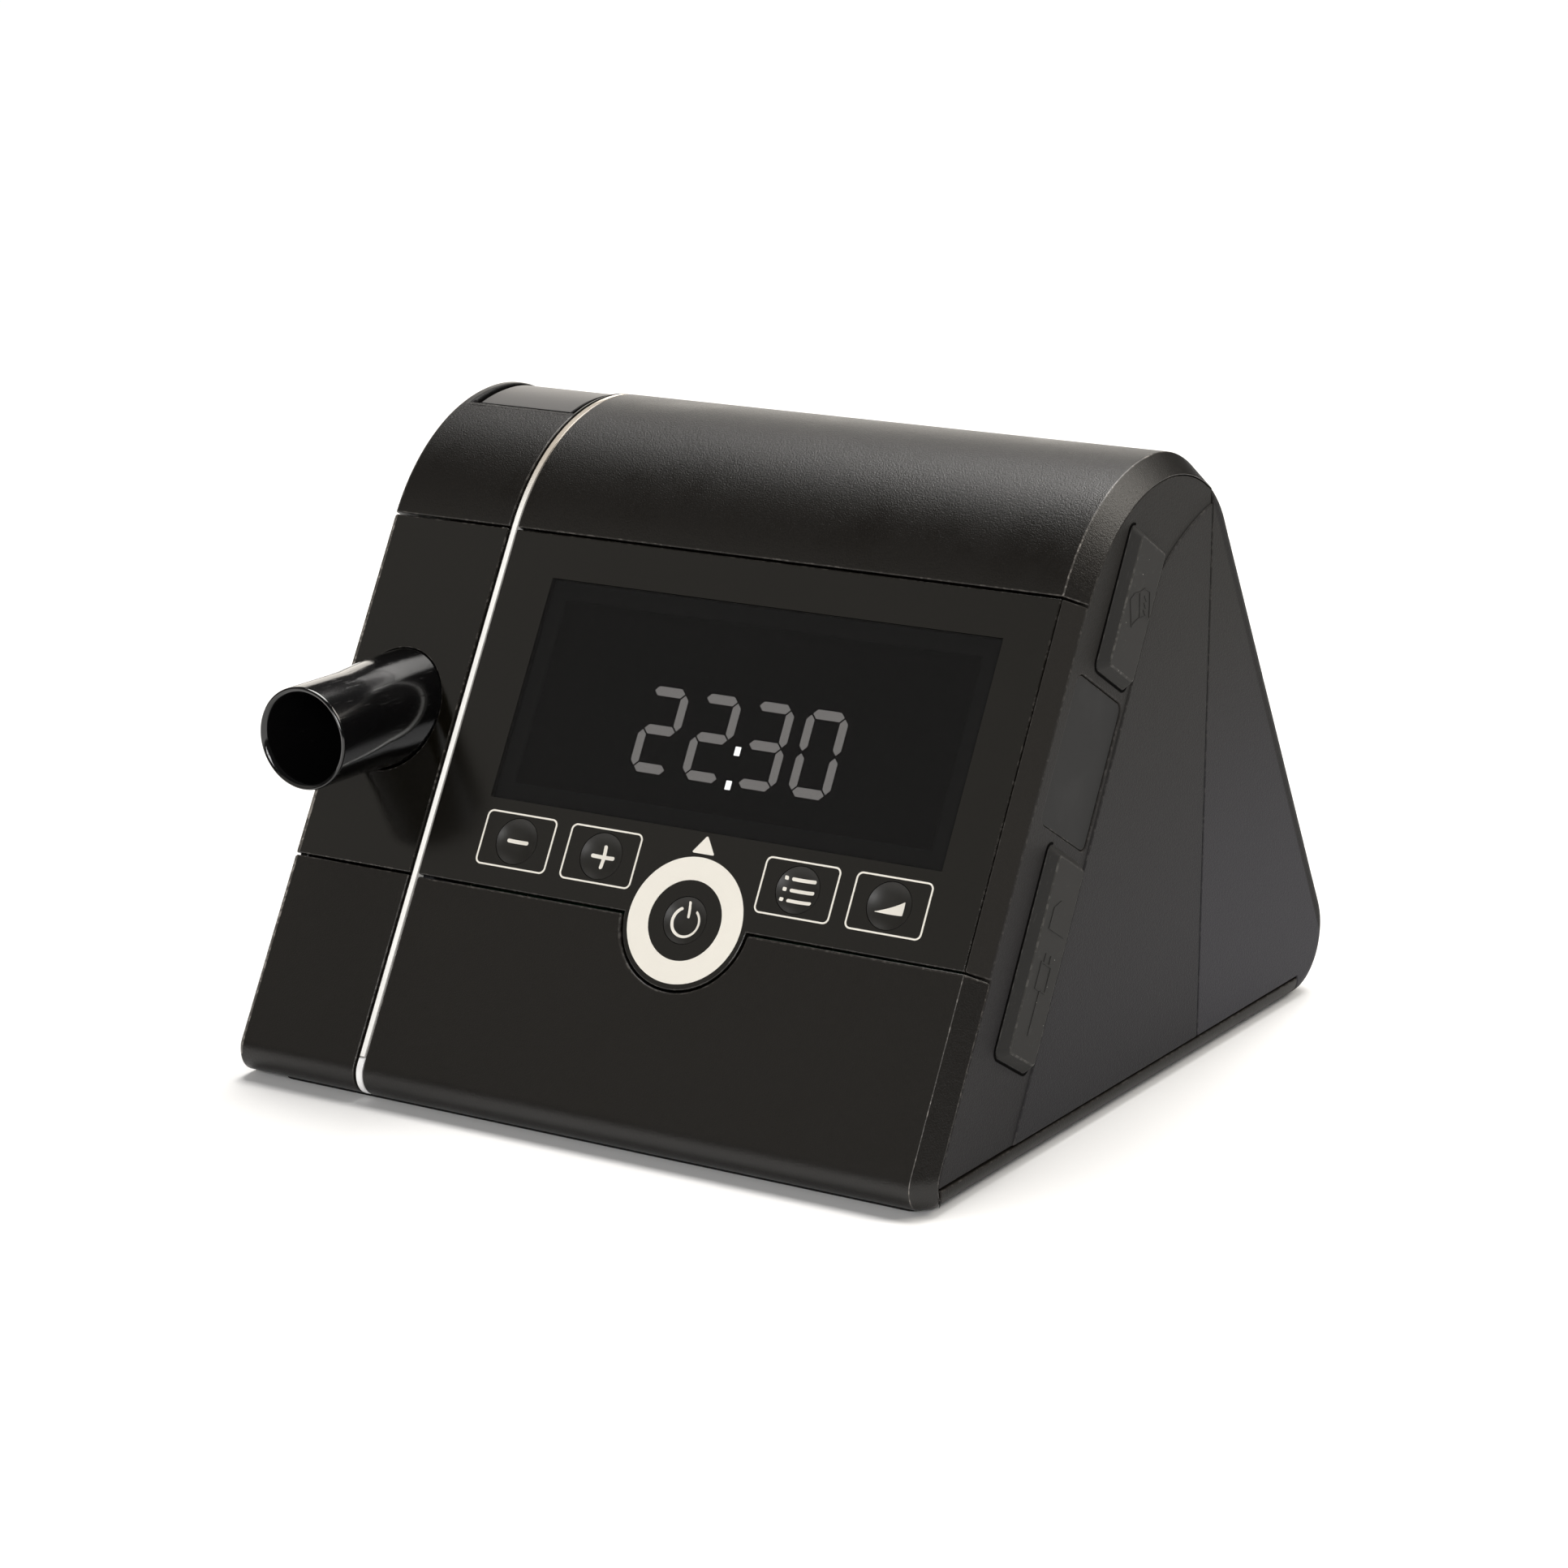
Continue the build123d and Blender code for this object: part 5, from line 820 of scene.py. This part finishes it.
# ---- pieces
class CPAP_OT_carry_over(Operator):
    """Give every CAD node its finish"""
    bl_idname = "cpap.carry_over"
    bl_label = "Inner Parts"

    def execute(self, context):
        make_finishes(context.scene.cpap_case, context.scene.cpap_display)
        for name, node in frame["nodes"].items():
            node.data.materials.clear()
            node.data.materials.append(FINISHES[slot_of(name)])
        return {"FINISHED"}


class CPAP_OT_covers(Operator):
    """Soften the edges of the case covers, the base and the rear"""
    bl_idname = "cpap.covers"
    bl_label = "Case Covers"

    def execute(self, context):
        width = context.scene.cpap_case.edge_width
        keys = [on_front(*spot).translation for spot in KEY_SPOTS.values()]
        window = on_front(PANEL_MID, WINDOW_UP).inverted()
        beside, below, around = 2, -6, 6.5

        def outline(edge):
            """Whether an edge of the panel is away from its key holes and its window."""
            for vert in edge.verts:
                near = window @ vert.co
                if near.z > below and all(
                        abs(reach) < size / 2 + beside for reach, size in zip(near, WINDOW)):
                    return False
                if min((vert.co - key).length for key in keys) < around * MM:
                    return False
            return True

        # the crease edges are marked strongly: a pale line that is wear and a painted highlight along the
        # crease
        dress("top_cover", width, segments=3, rub=0.3, first=(on_crease, 0.2, 1.0))
        dress("front_panel", width, rub=0.15, only=outline)
        # the same pale crease line, narrower: wear and a painted highlight
        dress("lower_front_cover", 0.5, segments=3, rub=0.3, first=(on_crease, 0.12, 0.8))
        dress("side_panel", width, rub=0.3)
        dress("rear_cover", width, rub=0.25)
        dress("base_tray", width, rub=0.2, finish="rim_black")
        dress("base_pad", 0.15)
        dress("filter_door", width)
        for node in ("power_inlet", "card_socket", "usb_socket"):
            dress(node, 0.12)
        return {"FINISHED"}


class CPAP_OT_module(Operator):
    """Build the connection module with its release key and hose stub"""
    bl_idname = "cpap.module"
    bl_label = "Connection Module"

    def execute(self, context):
        width = context.scene.cpap_case.edge_width
        low, high = extent("release_key", Matrix.Scale(MM, 4))
        left = extent("module_front", Matrix.Scale(MM, 4))[0].x
        beside = 0.8

        def opening(edge):
            """Whether an edge of the cap borders the opening of the release key."""
            return all(
                low[i] - beside < vert.co[i] / MM < high[i] + beside for vert in edge.verts for i in (0, 1))

        def outer_left(edge):
            """Whether an edge lies on the chamfer between the module's front and its left side."""
            return all(
                vert.co.x / MM < left + 1 and (vert.co / MM - FRONT_FOOT).dot(OUT_FRONT) > -1
                for vert in edge.verts)

        # painted highlight: the chamfer at the module's left edge is marked far above wear, so it turns pale
        painted_highlight_line = (outer_left, 0.5, 2.0)
        dress("module_shell", width, first=painted_highlight_line)
        # painted shade: the cap's edges round the release key's opening are painted near black
        dress("module_cap", width, first=(opening, 1.4, -1.0))
        dress("module_front", width, first=painted_highlight_line, finish="module_black")
        # painted shade: the release key's softened edges are painted near black
        dress("release_key", 0.5, rub=-1.0, finish="release_satin")
        spring = piece(
            "release_spring_wound", copy_of("release_spring"), "spring_steel", "module",
            ["release_spring"])
        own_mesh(spring)
        bm = lathe(STUB_OUTLINE, 96)
        bm.transform(place(STUB_SPOT, ACROSS, UP, FORWARD))
        piece("hose_stub_polished", bm, "gloss_black", "module", ["hose_stub"], crease=40)
        return {"FINISHED"}


class CPAP_OT_light_strip(Operator):
    """Build the bright strip between case and module"""
    bl_idname = "cpap.light_strip"
    bl_label = "Light Strip"

    def execute(self, context):
        # the strip's edges are marked in full, for the painted shade on them; the end's edges are marked
        # lightly
        dress("light_strip", 0.25, segments=3, rub=1.0)
        dress("strip_end", 0.25, segments=3, rub=0.2)
        return {"FINISHED"}


class CPAP_OT_keys(Operator):
    """Turn the five hollowed keys"""
    bl_idname = "cpap.keys"
    bl_label = "Keys"

    def execute(self, context):
        rim, count = KEY_R - 0.04, 12
        hollow = [(rim * i / count, dish(rim * i / count)) for i in range(count + 1)]
        outline = hollow + [
            (KEY_R, -0.05), (KEY_R, COLLAR_TOP), (COLLAR_R, COLLAR_TOP), (COLLAR_R, COLLAR_LOW),
            (STEM_R, COLLAR_LOW), (STEM_R, STEM_LOW), (0, STEM_LOW)]
        for name, spot in KEY_SPOTS.items():
            bm = lathe(outline, 48)
            bm.transform(on_front(*spot))
            key = name + "_key"
            piece(key + "_turned", bm, "key_satin", key, [key], crease=50)
        return {"FINISHED"}


class CPAP_OT_key_icons(Operator):
    """Print the icon in the hollow of each key"""
    bl_idname = "cpap.key_icons"
    bl_label = "Key Icons"

    def minus(self, bm):
        bar(bm, -0.25, 0.1, 5.2, 0.82, 0.38)

    def plus(self, bm):
        arm = 0.41
        outer = plate(bm, [
            (-2.9, -arm), (-arm, -arm), (-arm, -2.55), (arm, -2.55), (arm, -arm), (2.8, -arm),
            (2.8, arm), (arm, arm), (arm, 2.55), (-arm, 2.55), (-arm, arm), (-2.9, arm)])
        bevel(bm, [v for v in outer.verts if v.co.length > 1], 0.38, 4, "VERTICES")

    def power(self, bm):
        verts = [bm.verts.new((0, radius, 0)) for radius in (2.72, 3.30)]
        edge = bm.edges.new(verts)
        bmesh.ops.rotate(bm, cent=(0, 0, 0), matrix=Matrix.Rotation(radians(31), 3, "Z"), verts=verts)
        bmesh.ops.spin(
            bm, geom=verts + [edge], cent=(-0.2, -0.2, 0), axis=(0, 0, 1), angle=radians(298), steps=48,
            use_merge=False, use_duplicate=False)
        bevel(bm, [v for v in bm.verts if len(v.link_edges) == 2], 0.27, 4, "VERTICES")
        bar(bm, -0.1, 2.45, 0.58, 3.4, 0.27)

    def menu(self, bm):
        for row in (2.2, -0.1, -2.3):
            bar(bm, 0.65, row, 5.9, 0.72, 0.34)
            bar(bm, -3.35, row, 0.74, 0.78, 0.2)

    def ramp(self, bm):
        wedge = plate(bm, [(-3.3, -1.5), (3.05, -1.5), (3.0, 1.4)])
        bevel(bm, wedge.verts[:], 0.16, 3, "VERTICES")

    def execute(self, context):
        step, reach, lift = 0.55, 4.4, 0.005
        for name, spot in KEY_SPOTS.items():
            bm = bmesh.new()
            getattr(self, name)(bm)
            cut_up(bm, step, reach)
            raise_flat(bm, PRINT)
            for vert in bm.verts:
                vert.co.z += dish(vert.co.xy.length) + lift
            bm.transform(on_front(*spot))
            piece(name + "_icon", bm, "print_white", name + "_key", crease=60)
        return {"FINISHED"}


class CPAP_OT_panel_print(Operator):
    """Print the key frames, ring and pointer on the front panel"""
    bl_idname = "cpap.panel_print"
    bl_label = "Panel Print"

    def execute(self, context):
        bm = copy_of("panel_print")
        pointer, reach = on_front(*POINTER).translation, 4.2
        upright = [
            edge for edge in bm.edges
            if all((vert.co - pointer).length < reach * MM for vert in edge.verts)
            and abs((edge.verts[0].co - edge.verts[1].co).normalized().dot(OUT_FRONT)) > 0.99]
        bevel(bm, upright, 0.45 * MM)
        piece("panel_print_inked", bm, "print_white", "main", ["panel_print"])
        return {"FINISHED"}


class CPAP_OT_display(Operator):
    """Build the display: window, clock bars, lit colon and unlit marks with a faint painted glow"""
    bl_idname = "cpap.display"
    bl_label = "Display"

    def execute(self, context):
        dress("display_window", 0.05, segments=1)
        ink = bmesh.new()
        wide, high = (size / 2 - INK_INSET for size in WINDOW)
        ribbon(ink, [(-wide, -high), (wide, -high), (wide, high), (-wide, high)], INK_WIDTH, close=True)
        raise_flat(ink, INK_RISE)
        ink.transform(on_front(PANEL_MID, WINDOW_UP, WINDOW_REAR))
        piece("window_ink", ink, "lcd_black", "main", finish="ink_black")
        bars = copy_of("lcd_digits")
        colon = bars.copy()
        for corners in loose_parts(bars):
            centre = sum((vert.co for vert in corners), Vector()) / len(corners)
            for vert in corners:
                vert.co = centre + (vert.co - centre) * BAR_SHARE
        middle = on_front(*COLON).translation

        def lit(vert):
            """Whether a corner belongs to the colon's two dots."""
            away = vert.co - middle
            return abs(away.x) < COLON_HALF * MM and away.length < COLON_REACH * MM

        for bm, keep in ((bars, False), (colon, True)):
            bmesh.ops.delete(bm, geom=[v for v in bm.verts if lit(v) != keep], context="VERTS")
        for bm, moves, grows in ((bars, CLOCK_MOVES, CLOCK_GROWS), (colon, COLON_MOVES, (1, 1))):
            spot = on_front(CLOCK[0] + moves[0], CLOCK[1] + moves[1])
            bm.transform(spot @ Matrix.Diagonal((*grows, 1, 1)) @ on_front(*CLOCK).inverted())
        piece("clock_bars", bars, "digit_grey", "main", ["lcd_digits"])
        piece("clock_colon", colon, "digit_grey", "main", finish="colon_white")
        marks = bmesh.new()
        moon = arc((9.6, 113.6), 3.5, 60, 300, 16)
        ribbon(marks, moon + arc((11.2, 113.6), 3.2, 250, 120, 8), 0.16)
        for line in (
                [(16.7, 114.6), (17.3, 112.6), (21.6, 112.6)], [(43.2, 90.6), (43.2, 91.6)],
                [(48.2, 92.8), (49.5, 92.8), (49.6, 90.4)], [(41.8, 79.2), (41.8, 78.6)],
                [(41.5, 73.2), (41.9, 72.4)], [(51.8, 74.8), (52.0, 73.9), (53.0, 73.9)],
                [(42.6, 71.2), (42.9, 70.8)], [(55.3, 72.9), (55.7, 72.3)],
                [(-19.5, 112.2), (-18.4, 112.6)], [(-21.6, 106.2), (-20.2, 106.0), (-19.5, 107.2)]):
            ribbon(marks, line, 0.18)
        raise_flat(marks, PRINT)
        marks.transform(on_front(0, 0, DISPLAY_FACE))
        piece("unlit_marks", marks, "lcd_black", "main", finish="unlit_grey")
        return {"FINISHED"}


class CPAP_OT_side_flaps(Operator):
    """Build the two rubber flaps with their raised signs, and the bay cover"""
    bl_idname = "cpap.side_flaps"
    bl_label = "Side Flaps"

    def execute(self, context):
        flaps = ("card_flap", "usb_flap")
        for flap in flaps:
            dress(flap, 0.3, angle=20, segments=3, rub=0.7)
        dress("bay_cover", 0.25)
        # painted shadow lines: a near-black strip round each flap's front, foot and back corners stands for
        # the shade in the gap round the flap
        for flap in flaps:
            low, high = extent(flap, on_side(0, 0))
            front, foot, back = high.y - SHADOW_LINE_INSET, low.x + SHADOW_LINE_INSET, low.y + SHADOW_LINE_INSET
            corners = [(high.x - SHADOW_LINE_INSET, front, 0), (foot, front, 90), (foot, back, 180)]
            shadow_line = bmesh.new()
            path = [spot for x, y, turn in corners for spot in arc((x, y), SHADOW_LINE_R, turn, turn + 90, 6)]
            ribbon(shadow_line, path, SHADOW_LINE_WIDTH)
            raise_flat(shadow_line, SHADOW_LINE_RISE)
            shadow_line.transform(on_side(0, 0, -BAND_STEP))
            piece(flap + "_lip", shadow_line, "flap_rubber", "main", finish="lip_black")
        book = bmesh.new()
        ribbon(book, [
            (134.9, -16.9), (136.6, -18.2), (137.6, -20.2), (139.0, -22.0), (139.2, -24.4), (136.8, -25.8),
            (134.3, -27.0), (133.8, -24.7), (133.0, -22.8), (131.8, -21.4), (130.3, -20.2)], 0.26, close=True)
        ribbon(book, [(137.6, -20.2), (133.0, -22.8)], 0.22)
        for row in (0.0, 1.3, 2.6):
            ribbon(book, [(137.6 - row, -22.6 - row * 0.4), (136.9 - row, -23.9 - row * 0.4)], 0.2)
        plug = bmesh.new()
        plate(plug, [(70.5, -18.3), (72.5, -20.6), (72.0, -25.2), (66.0, -25.5), (66.1, -18.2)])
        ribbon(plug, [(44.6, -21.0), (49.5, -21.1), (54.0, -21.2)], 0.5)
        ribbon(plug, [(54.0, -18.9), (59.4, -18.9), (59.4, -23.5), (54.0, -23.5)], 0.32, close=True)
        for back in (-20.0, -22.4):
            ribbon(plug, [(59.6, back), (61.4, back)], 0.5)
        for sign, flap in ((book, "card_flap"), (plug, "usb_flap")):
            raise_flat(sign, SIGN_RISE)
            sign.transform(on_side(0, 0, SIGN_OUT))
            piece(flap + "_sign", sign, "flap_rubber", flap, crease=30)
        return {"FINISHED"}


class CPAP_OT_filters(Operator):
    """Build the foam and fleece of the air filter and the muffler foam"""
    bl_idname = "cpap.filters"
    bl_label = "Filters"

    def execute(self, context):
        for node, width in (("coarse_filter", 1.2), ("fine_filter", 0.7), ("muffler_foam", 1.5)):
            made = dress(node, width, segments=4)
        return {"FINISHED"}


class CPAP_OT_windings(Operator):
    """Wind the coils of the blower motor"""
    bl_idname = "cpap.windings"
    bl_label = "Motor Windings"

    def execute(self, context):
        bm = bmesh.new()
        for i in range(COILS):
            one = bmesh.new()
            bmesh.ops.create_cube(one, size=1.0)
            bmesh.ops.scale(one, vec=COIL_SIZE, verts=one.verts[:])
            bevel(one, one.edges[:], 0.8)
            turn = Matrix.Rotation(radians((i + 0.5) * 360 / COILS), 4, "Z")
            one.transform(
                Matrix.Translation(MOTOR_SPOT * MM) @ Matrix.Scale(MM, 4) @ turn
                @ Matrix.Translation(ACROSS * COIL_RING))
            coil = bpy.data.meshes.new("coil")
            one.to_mesh(coil)
            one.free()
            bm.from_mesh(coil)
            bpy.data.meshes.remove(coil)
        piece("motor_windings", bm, "winding_copper", "main", crease=60)
        return {"FINISHED"}


class CPAP_OT_stage(Operator):
    """Set the floor, the soft lights and the camera"""
    bl_idname = "cpap.stage"
    bl_label = "Stage"

    def hang(self, scene, lamp, strength, tone, away):
        """Puts a lamp in the scene, shining against a direction."""
        lamp.energy = strength
        lamp.color = tone
        holder = bpy.data.objects.new(lamp.name, lamp)
        holder.rotation_euler = away.to_track_quat("Z", "Y").to_euler()
        scene.collection.objects.link(holder)
        return holder

    def execute(self, context):
        scene, look = context.scene, context.scene.cpap_stage
        bm = bmesh.new()
        bmesh.ops.create_circle(bm, cap_ends=True, segments=96, radius=14.0)
        mesh = bpy.data.meshes.new("floor")
        bm.to_mesh(mesh)
        bm.free()
        ground = Finish("floor_paper", Specular_IOR_Level=0.1)
        tooth = ground.noise(1.2, 3)
        ground.feed(
            Base_Color=ground.mix(shade(look.floor_colour, 0.985), look.floor_colour, tooth),
            Roughness=0.85 + tooth * 0.1)
        mesh.materials.append(ground.material)
        floor = bpy.data.objects.new("floor", mesh)
        scene.collection.objects.link(floor)

        world = bpy.data.worlds.new("studio")
        world.use_nodes = True
        backdrop = world.node_tree.nodes["Background"]
        backdrop.inputs["Color"].default_value = (1, 1, 1, 1)
        backdrop.inputs["Strength"].default_value = look.fill
        scene.world = world
        scene.view_settings.view_transform = "Standard"

        for name, spot, wide, tall, tone in LIGHTS:
            lamp = bpy.data.lights.new(name, "AREA")
            lamp.shape = "RECTANGLE"
            lamp.size, lamp.size_y = wide, tall
            self.hang(scene, lamp, getattr(look, name), tone, Vector(spot) - AIM).location = spot
        lamp = bpy.data.lights.new("top_light", "SUN")
        lamp.angle = radians(40)
        self.hang(scene, lamp, look.top_light, FAINTLY_WARM, TOP_LIGHT_FROM)

        camera = bpy.data.cameras.new("camera")
        camera.lens = look.lens
        camera.sensor_width = 36.0
        camera.clip_start, camera.clip_end = 0.01, 50.0
        holder = bpy.data.objects.new("camera", camera)
        holder.matrix_world = (
            Matrix.Translation(CAMERA_SPOT * MM) @ Matrix(CAMERA_TURN).transposed().to_4x4())
        scene.collection.objects.link(holder)
        scene.camera = holder
        return {"FINISHED"}


class CPAP_PT_panel(Panel):
    """Lists the settings and the steps"""
    bl_label = "CPAP Machine"
    bl_idname = "CPAP_PT_panel"
    bl_space_type = "VIEW_3D"
    bl_region_type = "UI"
    bl_category = "CPAP"

    def draw(self, context):
        for group in (context.scene.cpap_case, context.scene.cpap_display, context.scene.cpap_stage):
            box = self.layout.box()
            for name in group.__annotations__:
                box.prop(group, name)
        for step in STEPS:
            self.layout.operator(step.bl_idname)


STEPS = (
    CPAP_OT_carry_over, CPAP_OT_covers, CPAP_OT_module, CPAP_OT_light_strip, CPAP_OT_keys,
    CPAP_OT_key_icons, CPAP_OT_panel_print, CPAP_OT_display, CPAP_OT_side_flaps, CPAP_OT_filters,
    CPAP_OT_windings, CPAP_OT_stage,
)
CLASSES = (CaseLook, DisplayLook, StageLook, *STEPS, CPAP_PT_panel)


def register():
    for made in CLASSES:
        bpy.utils.register_class(made)
    bpy.types.Scene.cpap_case = PointerProperty(type=CaseLook)
    bpy.types.Scene.cpap_display = PointerProperty(type=DisplayLook)
    bpy.types.Scene.cpap_stage = PointerProperty(type=StageLook)


def unregister():
    del bpy.types.Scene.cpap_stage
    del bpy.types.Scene.cpap_display
    del bpy.types.Scene.cpap_case
    for made in reversed(CLASSES):
        bpy.utils.unregister_class(made)


def main():
    register()
    for step in STEPS:
        group, name = step.bl_idname.split(".")
        getattr(getattr(bpy.ops, group), name)()


if __name__ == "__main__":
    main()
